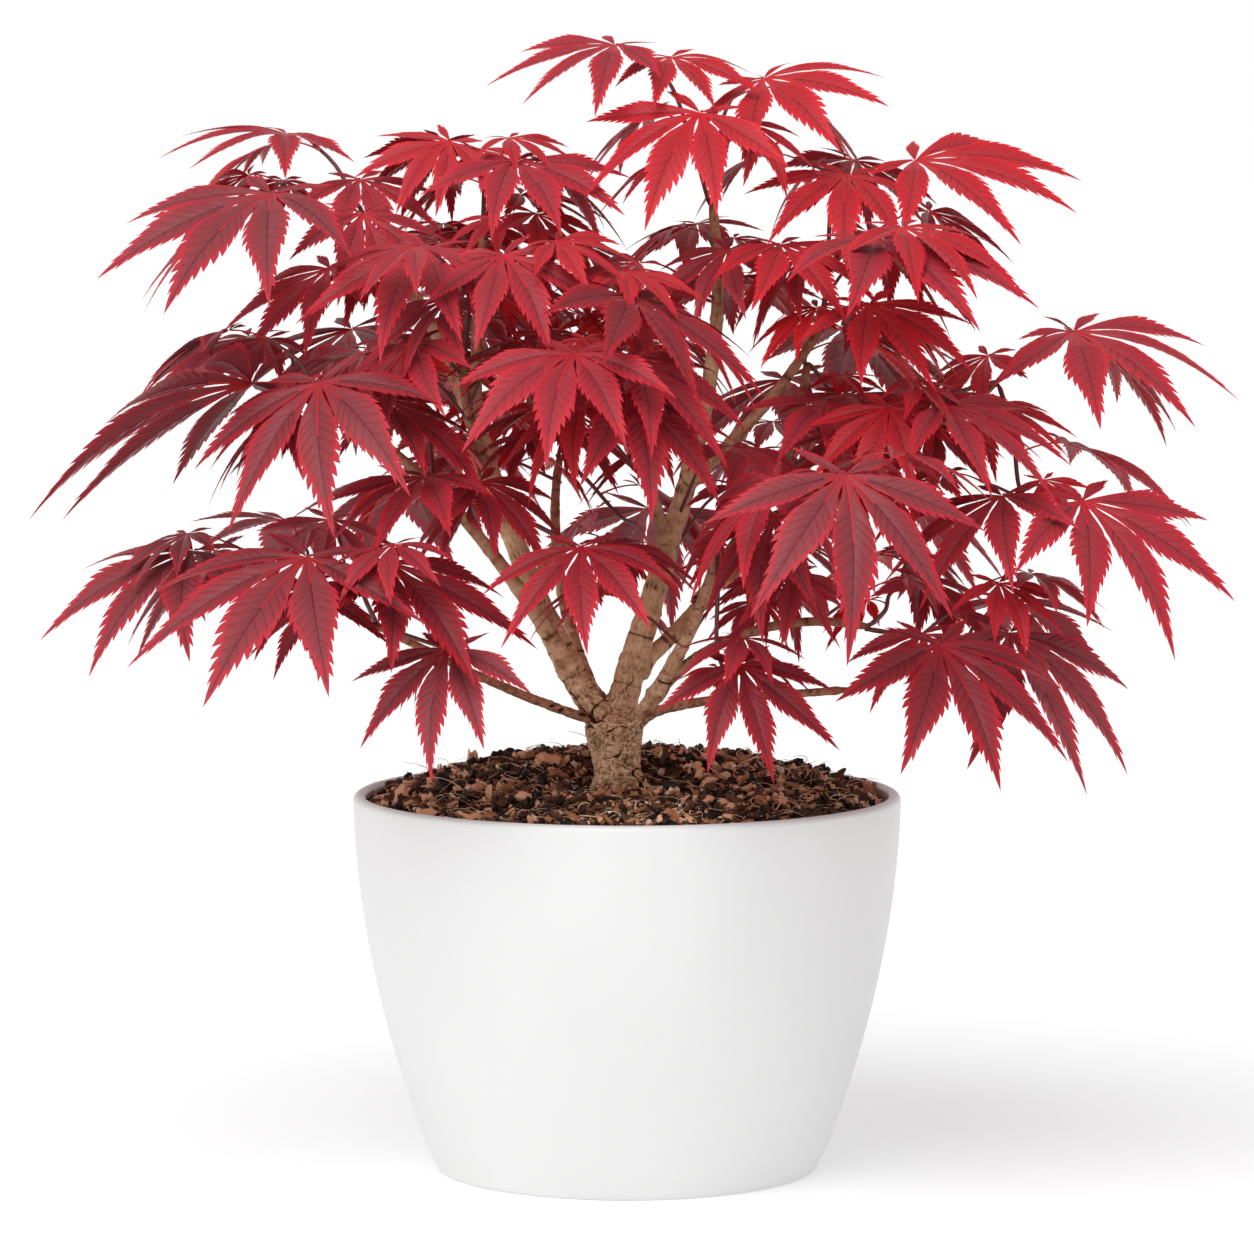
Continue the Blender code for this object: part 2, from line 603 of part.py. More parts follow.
def start_sprays(limbs, obstacles):
    """Every spray's twig and lead leaf, so that these keep their places."""
    sprays = [Spray(name, row) for name, row in SPRAYS.items()]
    for spray in sprays:
        path, radii = limbs[spray.bough]
        tip, along = path[-1], (path[-1] - path[-2]).normalized()
        mates = [s for s in sprays if s.bough == spray.bough]
        start = stand_on_tip(mates, tip, along, radii[-1] * TIP_SPREAD)[spray.name]
        clear = lay_twig(spray, start, along, obstacles)
        length, heading, droop, roll = spray.lead
        node = point_along(spray.twig, LEAD_SHARE)
        for k in range(TRIES):
            sway = TRY_LEAD_SWAY * k * (1 if k % 2 == 0 else -1)
            placed = add_leaf(spray, node, spray.place, length * (1 - TRY_LEAD_SHRINK * k),
                              heading + sway, droop, roll, obstacles)
            if placed:
                break
        if not (clear and placed):
            print(spray.name, "twig clear", clear, "lead placed", placed)
    return sprays


def fill_spray(spray, obstacles):
    """The other leaves: one across the lead, one lower down, a young one above, then more."""
    length, heading = spray.lead[:2]
    for share, turn, size, rise in FILL_PLAN[:spray.count - 1]:
        node = point_along(spray.twig, share)
        for k in range(TRIES):
            sway = spray.random.uniform(-1, 1) * (FILL_SWAY + TRY_FILL_SWAY * k)
            way = heading + turn * spray.hand + sway
            reach = length * size * spray.random.uniform(*FILL_SIZE) * (1 - TRY_FILL_SHRINK * k)
            fall = spray.random.uniform(*FILL_DROOP) + k
            stalk = reach * (STALK_SHARE if rise == STALK_RISE else YOUNG_STALK)
            place = node + direction(way, rise) * stalk
            roll = spray.random.uniform(-FILL_ROLL, FILL_ROLL)
            if add_leaf(spray, node, place, reach, way, fall, roll, obstacles):
                break


def join_spray(spray):
    """One solid for the spray; a leaf is left off each time the union won't close."""
    while True:
        (points, faces), rest = spray.parts[0], spray.parts[1:]
        thing = object_from(spray.name, points, faces, "leaf")
        others = [object_from("piece", p, f) for p, f in rest]
        closed = boolean(thing, others, "UNION")
        for other in others:
            bpy.data.objects.remove(other, do_unlink=True)
        if closed or len(spray.leaves) == 1:
            return len(thing.data.polygons)
        print(spray.name, "did not close with", len(spray.leaves), "leaves")
        bpy.data.objects.remove(thing, do_unlink=True)
        spray.parts = spray.parts[:-2]
        spray.leaves.pop()


def make_sprays(limbs, solids):
    obstacles = [(name, tree) for name, tree in solids.items()]
    for name in ("pot", "soil"):
        mesh = bpy.data.objects[name].data
        obstacles.append((name, tree_of([v.co for v in mesh.vertices],
                                        [tuple(p.vertices) for p in mesh.polygons])))
    sprays = start_sprays(limbs, obstacles)
    for spray in sprays:
        fill_spray(spray, obstacles)
    for spray in sprays:
        faces = join_spray(spray)
        print(spray.name, len(spray.leaves), "leaves", faces, "faces")
    print("leaves in all", sum(len(s.leaves) for s in sprays))


def main():
    clear_scene()
    make_pot()
    make_soil()
    limbs, solids = make_limbs()
    make_sprays(limbs, solids)


main()
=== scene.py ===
# %% [markdown]
# # A young red japanese maple in a round white pot
#
# The plant is dressed in the order in which it grows.  A short gnarled trunk forks
# into boughs, the boughs end in twigs, and every twig carries a few seven-lobed
# leaves on red stalks.  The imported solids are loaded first, because they say where
# the pot, the soil and every limb are.

# %% Load the frame
import math
import random

import bpy
import numpy as np
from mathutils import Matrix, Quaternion, Vector, kdtree, noise
from mathutils.bvhtree import BVHTree


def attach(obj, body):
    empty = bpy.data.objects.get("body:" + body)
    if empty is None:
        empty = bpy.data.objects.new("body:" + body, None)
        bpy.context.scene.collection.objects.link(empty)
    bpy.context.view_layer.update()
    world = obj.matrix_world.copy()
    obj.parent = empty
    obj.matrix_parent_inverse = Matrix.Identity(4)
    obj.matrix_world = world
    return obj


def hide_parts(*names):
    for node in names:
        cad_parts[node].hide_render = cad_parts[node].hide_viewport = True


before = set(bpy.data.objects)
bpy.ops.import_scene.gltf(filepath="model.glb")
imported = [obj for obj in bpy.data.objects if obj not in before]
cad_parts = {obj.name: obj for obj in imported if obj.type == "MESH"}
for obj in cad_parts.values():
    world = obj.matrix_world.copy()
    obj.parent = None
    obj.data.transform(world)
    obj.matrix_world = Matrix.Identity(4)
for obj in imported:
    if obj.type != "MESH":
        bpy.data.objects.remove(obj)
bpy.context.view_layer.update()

MM = 0.001

# %% [markdown]
# ## Camera
#
# The plant is seen from a little above its own height, from far enough away that
# the pot's sides hardly converge.  A long lens does that.  The camera could be
# aimed with a constraint, but two plain angles are easier to read back.

# %% Camera
CAMERA_PLACE = (0.0, -2.3845, 0.44816)
CAMERA_DOWN = 5.257               # degrees
CAMERA_LENS = 163.7               # mm, on a sensor 36 mm wide


def make_camera():
    tilt = math.radians(90 - CAMERA_DOWN)
    bpy.ops.object.camera_add(location=CAMERA_PLACE, rotation=(tilt, 0, 0))
    camera = bpy.context.object
    camera.name = "camera"
    camera.data.sensor_width = 36
    camera.data.lens = CAMERA_LENS
    camera.data.clip_end = 50
    bpy.context.scene.camera = camera
    print("camera", camera.data.lens, "mm lens")


make_camera()

# %% [markdown]
# ## Shared helpers
#
# Every operator acts on what is selected, and loading the frame leaves its solids
# selected.  So each step starts by deselecting everything.  One helper makes a
# Principled material, and one adds the fine relief that every finish here has.

# %% Helpers for objects and materials


def deselect():
    if bpy.context.object and bpy.context.object.mode != "OBJECT":
        bpy.ops.object.mode_set(mode="OBJECT")
    bpy.ops.object.select_all(action="DESELECT")


def only(piece):
    deselect()
    piece.select_set(True)
    bpy.context.view_layer.objects.active = piece


def apply_modifier(piece, kind, **settings):
    """Add one modifier, set it and apply it."""
    only(piece)
    change = piece.modifiers.new(kind.title(), kind)
    for name, value in settings.items():
        setattr(change, name, value)
    bpy.ops.object.modifier_apply(modifier=change.name)


def principled(name, colour, roughness, specular=0.5):
    material = bpy.data.materials.new(name)
    material.use_nodes = True
    shader = material.node_tree.nodes["Principled BSDF"]
    shader.inputs["Base Color"].default_value = (*colour, 1)
    shader.inputs["Roughness"].default_value = roughness
    shader.inputs["Specular IOR Level"].default_value = specular
    return material


def object_noise(material, scale, detail=4.0, squeeze=(1, 1, 1)):
    """A noise pattern on the object's own coordinates; squeeze stretches it."""
    nodes, links = material.node_tree.nodes, material.node_tree.links
    place = nodes.new("ShaderNodeTexCoord")
    mapping = nodes.new("ShaderNodeMapping")
    mapping.inputs["Scale"].default_value = squeeze
    pattern = nodes.new("ShaderNodeTexNoise")
    pattern.inputs["Scale"].default_value = scale
    pattern.inputs["Detail"].default_value = detail
    links.new(place.outputs["Object"], mapping.inputs["Vector"])
    links.new(mapping.outputs["Vector"], pattern.inputs["Vector"])
    return pattern


def add_bump(material, height, distance, strength=1.0):
    nodes, links = material.node_tree.nodes, material.node_tree.links
    bump = nodes.new("ShaderNodeBump")
    bump.inputs["Distance"].default_value = distance
    bump.inputs["Strength"].default_value = strength
    links.new(height, bump.inputs["Height"])
    links.new(bump.outputs["Normal"], nodes["Principled BSDF"].inputs["Normal"])


def ramp(material, value, stops):
    """A colour ramp from (place, colour) stops."""
    nodes, links = material.node_tree.nodes, material.node_tree.links
    colours = nodes.new("ShaderNodeValToRGB")
    band = colours.color_ramp
    band.elements[0].position, band.elements[-1].position = stops[0][0], stops[-1][0]
    for place, _ in stops[1:-1]:
        band.elements.new(place)
    for element, (_, colour) in zip(band.elements, stops):
        element.color = (*colour, 1)
    links.new(value, colours.inputs["Fac"])
    return colours.outputs["Color"]


def maths(material, operation, *values):
    """One step of arithmetic; each value is a number or what another node puts out."""
    node = material.node_tree.nodes.new("ShaderNodeMath")
    node.operation = operation
    for socket, value in zip(node.inputs, values):
        if isinstance(value, (int, float)):
            socket.default_value = value
        else:
            material.node_tree.links.new(value, socket)
    return node.outputs["Value"]


def attribute(material, name):
    node = material.node_tree.nodes.new("ShaderNodeAttribute")
    node.attribute_name = name
    return node.outputs["Fac"]


def mesh_piece(name, points, faces, materials=(), indices=None):
    """A piece from arrays, for things that are too many to model one by one."""
    mesh = bpy.data.meshes.new(name)
    mesh.from_pydata(points, [], faces)
    for material in materials:
        mesh.materials.append(material)
    if indices is not None:
        mesh.polygons.foreach_set("material_index", indices)
    mesh.validate()
    mesh.update()
    piece = bpy.data.objects.new(name, mesh)
    bpy.context.scene.collection.objects.link(piece)
    return piece


def triangles(piece):
    return sum(len(face.vertices) - 2 for face in piece.data.polygons)

# %% [markdown]
# ## Pot
#
# The pot is one turned shell of satin white: a flat foot with a shallow recess
# under it, a wall that flares and turns upright, and a soft round lip.  It could be
# a profile with a Screw modifier.  Here a disc is extruded and scaled ring by ring,
# as a potter pulls the wall up, because the wall's formula is then used directly.

# %% Pot sizes and shape
POT_HEIGHT = 159.0 * MM
POT_FOOT_RADIUS = 81.2 * MM
POT_RIM_RADIUS = 115.2 * MM
POT_CURVE = 1.85
POT_WALL = 5.4 * MM
POT_FLOOR = 6.0 * MM
POT_FOOT_ROUND = 2.2 * MM
POT_RECESS = (9.0 * MM, 1.6 * MM)  # width of the foot ring, depth of the recess inside it
POT_RING_ROUND = ((0.5 * MM, 0.3 * MM), (1.2 * MM, 0.0))   # the foot ring's inner edge: out, up
POT_FOOT_STEPS, POT_FOOT_TURN, POT_FOOT_SQUEEZE = 4, 25, 0.9   # its outer edge, turned in degrees
POT_SIDES = 144
POT_WALL_RINGS = 26
POT_LIP_STEPS = 10
POT_SMOOTH = 35                   # degrees; only sharper edges stay edges


def pot_radius(z):
    upright = 1.0 - min(max(z / POT_HEIGHT, 0.0), 1.0)
    return POT_RIM_RADIUS - (POT_RIM_RADIUS - POT_FOOT_RADIUS) * upright ** POT_CURVE


def pot_profile():
    """(radius, height) from the recess under the foot, over the lip, to the inner floor."""
    foot, width = POT_FOOT_ROUND, POT_RECESS[0]
    flat = pot_radius(0) - foot
    rows = [(flat - width, POT_RECESS[1])]
    rows += [(flat - width + out, up) for out, up in POT_RING_ROUND]
    for step in range(POT_FOOT_STEPS):
        a = math.radians(step * POT_FOOT_TURN)
        rows.append((flat + foot * math.sin(a) * POT_FOOT_SQUEEZE, foot * (1 - math.cos(a))))
    top = POT_HEIGHT - POT_WALL / 2
    for k in range(1, POT_WALL_RINGS + 1):
        z = foot + (top - foot) * k / POT_WALL_RINGS
        rows.append((pot_radius(z), z))
    middle = pot_radius(top) - POT_WALL / 2
    for k in range(1, POT_LIP_STEPS):
        a = math.pi * k / POT_LIP_STEPS
        rows.append((middle + POT_WALL / 2 * math.cos(a), top + POT_WALL / 2 * math.sin(a)))
    for k in range(POT_WALL_RINGS // 2 + 1):
        z = top - (top - POT_FLOOR) * k / (POT_WALL_RINGS // 2)
        rows.append((pot_radius(z) - POT_WALL, z))
    return rows


def make_pot():
    deselect()
    rows = pot_profile()
    radius, height = rows[0]
    bpy.ops.mesh.primitive_circle_add(vertices=POT_SIDES, radius=radius, fill_type="NGON",
                                      location=(0, 0, height))
    pot = bpy.context.object
    pot.name = "white_pot"
    bpy.ops.object.mode_set(mode="EDIT")
    for next_radius, next_height in rows[1:]:
        bpy.ops.mesh.extrude_region_move(
            TRANSFORM_OT_translate={"value": (0, 0, next_height - height)})
        grow = next_radius / radius
        bpy.ops.transform.resize(value=(grow, grow, 1), center_override=(0, 0, next_height))
        radius, height = next_radius, next_height
    bpy.ops.mesh.select_all(action="SELECT")
    bpy.ops.mesh.normals_make_consistent(inside=False)
    bpy.ops.object.mode_set(mode="OBJECT")
    bpy.ops.object.transform_apply(location=True, rotation=True, scale=True)
    bpy.ops.object.shade_smooth_by_angle(angle=math.radians(POT_SMOOTH))
    print("pot", triangles(pot), "triangles")
    return pot


# %% Pot finish
POT_LIGHT, POT_DARK = (0.755, 0.755, 0.753), (0.73, 0.73, 0.728)
POT_ROUGHNESS = 0.38
POT_CLOUDS, POT_GRAIN = 14, 420   # noise scales, per metre
POT_GRAIN_DEPTH = 0.00006


def satin_white():
    """White with a faint cloudiness and the slight unevenness of a cast surface."""
    material = principled("satin_white", POT_LIGHT, POT_ROUGHNESS)
    cloud = object_noise(material, POT_CLOUDS, 3)
    shader = material.node_tree.nodes["Principled BSDF"]
    colour = ramp(material, cloud.outputs["Fac"], ((0.35, POT_DARK), (0.65, POT_LIGHT)))
    material.node_tree.links.new(colour, shader.inputs["Base Color"])
    grain = object_noise(material, POT_GRAIN, 2)
    add_bump(material, grain.outputs["Fac"], POT_GRAIN_DEPTH, 0.5)
    return material


pot = make_pot()
pot.data.materials.append(satin_white())
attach(pot, "root")
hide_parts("pot")

# %% [markdown]
# ## How the plant grows
#
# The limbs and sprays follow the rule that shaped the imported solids, written out
# again.  The limbs are the same.  A few lead leaves are smaller or turned a little,
# so most leaves stand where their solids do, and the rest close by.  A bough leaves
# its parent at a share of the parent's length, and its heading and climb change
# evenly along it.  A spray is one twig from a bough's tip.  Its lead leaf has a fixed
# place, and the others follow from a seeded plan.

# %% Named sizes of the trunk and the boughs
GAP = 0.3 * MM
TRUNK_X, TRUNK_Y = -3.5 * MM, -12.0 * MM
TRUNK_FOOT_Z = 161.6 * MM
TRUNK_HEIGHT = 33.0 * MM
TRUNK_LEAN = (-2.5 * MM, 3.5 * MM)
TRUNK_SIDES = 18
TRUNK_SHAPE = ((0.0, 13.2), (0.07, 11.6), (0.18, 10.5), (0.32, 10.1), (0.48, 10.6),
               (0.62, 11.6), (0.76, 12.4), (0.88, 11.6), (0.96, 9.0), (1.0, 5.0))
ROOT_COUNT, ROOT_FLARE, ROOT_FALL = 5, 0.10, 4
TRUNK_RIDGE, TRUNK_TURN = 0.02, 0.7
TRUNK_STEPS = 8                   # of the axis that the boughs start from
# name: parent, share of the parent's length, headings at the start and the tip,
# climbs at the start, the middle and the tip (degrees), length in mm, radius in mm
# at the start and at the tip
BOUGHS = {
    "left_leader": ("trunk", 0.72, (172, 178), (50, 71, 50), 230, (7.4, 1.9)),
    "centre_leader": ("trunk", 0.72, (14, 16), (76, 75, 100), 228, (7.3, 1.9)),
    "right_low_stem": ("trunk", 0.50, (-34, -80), (48, 50, 48), 122, (4.6, 1.8)),
    "left_back_stem": ("trunk", 0.70, (130, 80), (44, 52, 46), 146, (3.8, 1.8)),
    "low_left_bough": ("trunk", 0.80, (-155, -145), (16, 24, 26), 122, (2.3, 1.6)),
    "left_arm": ("left_leader", 0.13, (-146, -152), (54, 48, 30), 148, (3.9, 1.8)),
    "left_front_bough": ("left_leader", 0.50, (-120, -88), (48, 48, 44), 78, (2.6, 1.7)),
    "front_low_bough": ("left_leader", 0.30, (-84, -74), (22, 20, 16), 76, (2.3, 1.6)),
    "left_stem": ("left_leader", 0.55, (150, 10), (72, 84, 82), 98, (2.9, 1.8)),
    "back_left_bough": ("left_leader", 0.38, (110, 148), (40, 38, 34), 112, (2.7, 1.7)),
    "centre_front_bough": ("centre_leader", 0.36, (-110, -100), (44, 40, 34), 92, (2.9, 1.8)),
    "right_inner_stem": ("centre_leader", 0.11, (31, -4), (34, 58, 84), 156, (3.8, 1.8)),
    "right_upper_bough": ("centre_leader", 0.48, (-22, -17), (38, 48, 58), 88, (3.1, 1.8)),
    "right_far_bough": ("right_inner_stem", 0.36, (-11, -11), (32, 36, 38), 144, (2.6, 1.7)),
    "back_right_bough": ("right_inner_stem", 0.28, (62, 40), (42, 36, 30), 104, (2.7, 1.7)),
    "right_side_bough": ("right_low_stem", 0.26, (-34, -29), (46, 18, -8), 112, (2.6, 1.7)),
    "low_right_bough": ("right_low_stem", 0.16, (-54, -34), (18, 8, 8), 118, (2.3, 1.6)),
}
BOUGH_TAPER = 0.68
BOUGH_SIDES = 6
BOUGH_RING_STEP = 20.0 * MM
print(len(BOUGHS), "boughs")

# %% Named sizes of the sprays
# name: bough, where the lead leaf joins its stalk (x, y, z in mm), that leaf's
# length in mm, its heading, droop and roll in degrees, leaves in all, seed
SPRAYS = {
    "top_left_spray": ("left_leader", (-143, 20, 435), 58, 238, 3, -8, 4, 6),
    "upper_left_spray": ("left_leader", (-146, -40, 411), 85, 235, 23, -5, 4, 10),
    "left_shoulder_spray": ("left_leader", (-124, 0, 379), 55, 222, 30, -4, 3, 5),
    "left_outer_spray": ("left_arm", (-153, -60, 334), 101, 196, 15, 25, 3, 5),
    "left_front_spray": ("left_arm", (-124, -90, 336), 78, 271, 36, 17, 3, 2),
    "left_mid_spray": ("left_arm", (-159, 15, 350), 60, 212, 22, 0, 3, 6),
    "low_left_outer_spray": ("low_left_bough", (-179, -40, 264), 75, 227, 26, -6, 4, 8),
    "low_left_front_spray": ("low_left_bough", (-128, -110, 267), 88, 240, 28, -8, 3, 3),
    "low_left_inner_spray": ("low_left_bough", (-71, -110, 230), 57, 250, 40, 0, 2, 6),
    "front_left_upper_spray": ("left_front_bough", (-81, -60, 389), 66, 244, 26, -4, 4, 6),
    "front_left_spray": ("left_front_bough", (-50, -80, 387), 58, 298, 30, 15, 3, 1),
    "front_left_low_spray": ("front_low_bough", (-82, -78, 297), 56, 250, 18, 4, 3, 5),
    "centre_front_spray": ("centre_front_bough", (-21, -120, 349), 68, 255, 26, -2, 4, 5),
    "centre_face_spray": ("centre_front_bough", (0, -105, 332), 64, 290, 38, -9, 4, 1),
    "centre_upper_spray": ("centre_front_bough", (2, -95, 370), 71, 295, 22, -12, 4, 5),
    "centre_low_spray": ("front_low_bough", (-18, -110, 271), 58, 268, 32, 4, 3, 6),
    "top_mid_left_spray": ("left_stem", (-74, 10, 432), 44, 229, 28, -20, 3, 7),
    "top_mid_spray": ("left_stem", (-46, -28, 424), 62, 292, 18, 4, 5, 5),
    "crown_tip_spray": ("centre_leader", (-5, 0, 472), 58, 228, 16, -8, 5, 9),
    "crown_front_spray": ("centre_leader", (30, -30, 444), 66, 240, 34, -12, 4, 9),
    "crown_right_spray": ("centre_leader", (57, 8, 458), 65, 299, 16, 20, 4, 5),
    "upper_right_spray": ("right_upper_bough", (120, 0, 424), 76, 336, 6, 18, 5, 4),
    "upper_right_front_spray": ("right_upper_bough", (100, -60, 392), 80, 300, 12, 0, 4, 1),
    "mid_right_spray": ("right_upper_bough", (99, -50, 366), 57, 298, 28, 6, 3, 2),
    "inner_right_spray": ("right_inner_stem", (94, 10, 326), 52, 285, 14, 0, 5, 7),
    "far_right_spray": ("right_far_bough", (186, -10, 353), 77, 309, 16, 11, 3, 5),
    "right_outer_spray": ("right_far_bough", (186, -60, 286), 78, 311, 33, 6, 4, 6),
    "right_mid_spray": ("right_far_bough", (129, -60, 325), 62, 322, 22, 8, 5, 8),
    "right_low_outer_spray": ("right_side_bough", (156, -70, 233), 78, 300, 42, -6, 3, 7),
    "right_low_inner_spray": ("right_side_bough", (122, -30, 252), 44, 300, 35, -5, 3, 3),
    "low_right_front_spray": ("low_right_bough", (125, -110, 232), 74, 300, 40, 4, 2, 1),
    "right_front_spray": ("right_low_stem", (86, -140, 302), 79, 277, 45, -4, 3, 8),
    "right_face_spray": ("right_low_stem", (59, -100, 283), 60, 262, 52, 8, 4, 3),
    "low_centre_spray": ("right_low_stem", (45, -110, 224), 54, 290, 45, 8, 2, 1),
    "back_left_spray": ("back_left_bough", (-120, 100, 350), 78, 138, 30, 0, 5, 6),
    "back_left_low_spray": ("back_left_bough", (-95, 110, 285), 76, 120, 35, 0, 4, 3),
    "back_centre_spray": ("left_back_stem", (-20, 120, 345), 80, 95, 28, 0, 5, 5),
    "back_centre_low_spray": ("left_back_stem", (10, 120, 270), 74, 75, 38, 0, 4, 7),
    "back_right_spray": ("back_right_bough", (95, 100, 350), 80, 52, 28, 0, 5, 10),
    "back_right_low_spray": ("back_right_bough", (110, 95, 285), 76, 35, 36, 0, 4, 9),
}
STEM_RADII = (1.15 * MM, 0.80 * MM)
STALK_RADII = (0.60 * MM, 0.42 * MM)
STALK_SHARE, STALK_RISE, STALK_ROOT = 0.34, 12, 0.015
YOUNG_RISE, YOUNG_STALK = 60, 0.5
LEAD_SHARE, TIP_SPREAD = 0.985, 0.70
TWIG_STEPS, TWIG_STRAIGHT, TWIG_FOOT = 3, 1.6 * MM, 0.72
TWIG_ARRIVE, TWIG_PULL = 15, 0.30
TWIG_AHEAD = 0.4                  # how much a twig starts along its bough, against straight to its leaf
# one twig's further leaves: share of the twig, turn from the lead leaf, size
# against it, rise of the stalk; the turns are mirrored from spray to spray
FILL_PLAN = ((0.92, 68, 0.84, STALK_RISE), (0.60, -62, 0.80, STALK_RISE),
             (0.96, 12, 0.52, YOUNG_RISE), (0.54, 96, 0.70, STALK_RISE),
             (0.34, -100, 0.70, STALK_RISE))
FILL_SIZE, FILL_DROOP = (0.90, 1.08), (14, 40)
FILL_ROLL, FILL_SWAY = 8, 8
TRIES = 14
TRY_TWIG_TURN, TRY_TWIG_CLIMB, TRY_TWIG_PULL, TRY_PULLS = 9, 3, 0.02, 5
TRY_LEAD_SWAY, TRY_LEAD_SHRINK = 3, 0.02
TRY_FILL_SWAY, TRY_FILL_SHRINK = 3, 0.025
print(len(SPRAYS), "sprays")

# %% Paths, tubes and the limbs


def direction(heading, climb):
    """Unit vector from a heading and a climb in degrees."""
    h, c = math.radians(heading), math.radians(climb)
    return Vector((math.cos(c) * math.cos(h), math.cos(c) * math.sin(h), math.sin(c)))


def rings_to_solid(rings):
    count = len(rings[0])
    points = [p for ring in rings for p in ring]
    faces = []
    for k in range(len(rings) - 1):
        for i in range(count):
            j = (i + 1) % count
            faces.append((k * count + i, k * count + j, (k + 1) * count + j, (k + 1) * count + i))
    last = (len(rings) - 1) * count
    faces.append(tuple(reversed(range(count))))
    faces.append(tuple(last + i for i in range(count)))
    return points, faces


def tube(path, radii, sides):
    rings = []
    across = None
    for k, centre in enumerate(path):
        ahead = path[min(k + 1, len(path) - 1)] - path[max(k - 1, 0)]
        ahead.normalize()
        if across is None:
            across = ahead.orthogonal().normalized()
        across = (across - ahead * across.dot(ahead)).normalized()
        third = ahead.cross(across)
        turns = [2 * math.pi * i / sides for i in range(sides)]
        rings.append([centre + radii[k] * (across * math.cos(a) + third * math.sin(a)) for a in turns])
    return rings_to_solid(rings)


def tree_of(points, faces):
    return BVHTree.FromPolygons([tuple(p) for p in points], faces)


def trunk_axis(share):
    return Vector((TRUNK_X + TRUNK_LEAN[0] * share, TRUNK_Y + TRUNK_LEAN[1] * share,
                   TRUNK_FOOT_Z + TRUNK_HEIGHT * share))


def trunk_solid():
    rings = []
    for share, radius in TRUNK_SHAPE:
        centre = trunk_axis(share)
        flare = ROOT_FLARE * (1 - share) ** ROOT_FALL + TRUNK_RIDGE
        ring = []
        for i in range(TRUNK_SIDES):
            a = 2 * math.pi * i / TRUNK_SIDES
            r = radius * MM * (1 + flare * math.cos(ROOT_COUNT * a + TRUNK_TURN))
            ring.append(centre + Vector((r * math.cos(a), r * math.sin(a), 0.0)))
        rings.append(ring)
    return rings_to_solid(rings)


def bough_path(start, row):
    headings, climbs, length, (thick, thin) = row[2:]
    steps = max(4, round(length * MM / BOUGH_RING_STEP))
    path = [start]
    for k in range(steps):
        s = (k + 0.5) / steps
        heading = headings[0] + (headings[1] - headings[0]) * s
        climb = (climbs[0] * (1 - s) * (1 - 2 * s) + climbs[1] * 4 * s * (1 - s)
                 + climbs[2] * s * (2 * s - 1))
        path.append(path[-1] + direction(heading, climb) * (length * MM / steps))
    radii = [(thick + (thin - thick) * (k / steps) ** BOUGH_TAPER) * MM for k in range(steps + 1)]
    return path, radii


def point_along(path, share):
    place = share * (len(path) - 1)
    k = min(int(place), len(path) - 2)
    return path[k].lerp(path[k + 1], place - k)


def grow_limbs():
    limbs = {"trunk": ([trunk_axis(k / TRUNK_STEPS) for k in range(TRUNK_STEPS + 1)], None)}
    obstacles = [("trunk", tree_of(*trunk_solid()))]
    for name, row in BOUGHS.items():
        path, radii = bough_path(point_along(limbs[row[0]][0], row[1]), row)
        limbs[name] = (path, radii)
        obstacles.append((name, tree_of(*tube(path, radii, BOUGH_SIDES))))
    for name in ("pot", "soil"):
        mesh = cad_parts[name].data
        corners = [vertex.co for vertex in mesh.vertices]
        obstacles.append((name, tree_of(corners, [tuple(f.vertices) for f in mesh.polygons])))
    return limbs, obstacles


limbs, obstacles = grow_limbs()
print("limbs measure", round(sum(row[4] for row in BOUGHS.values())), "mm end to end")

# %% [markdown]
# ## Leaves find their places
#
# A leaf is tried with a plain seven-lobed blade, thick enough to be the packed
# solid, before it is drawn in full.  A blade or a stalk that would touch anything
# is moved a little and tried again.  Testing plain blades keeps this quick, and the
# detailed blades are laid over them afterwards.

# %% The plain blade
# each lobe: degrees from the middle lobe, length against the middle lobe's
LEAF_LOBES = ((-118, 0.32), (-69, 0.76), (-33, 0.94), (0, 1.0), (33, 0.94), (69, 0.76), (118, 0.32))
LOBE_WIDTH, LOBE_BELLY = 0.125, 0.50
NOTCH, NOTCH_LEAST = 0.20, 0.55
STALK_NOTCH, SMALL_LOBE = (0.08, -175), 0.5
LEAF_THICK, LEAF_THICK_LOBE, LEAF_CURL = 0.024, 0.017, 0.16


def leaf_axes(heading, droop, roll):
    ahead = direction(heading, -droop)
    side = direction(heading + 90, 0)
    up = ahead.cross(side)
    tilt = math.radians(roll)
    return (ahead, side * math.cos(tilt) + up * math.sin(tilt),
            up * math.cos(tilt) - side * math.sin(tilt))


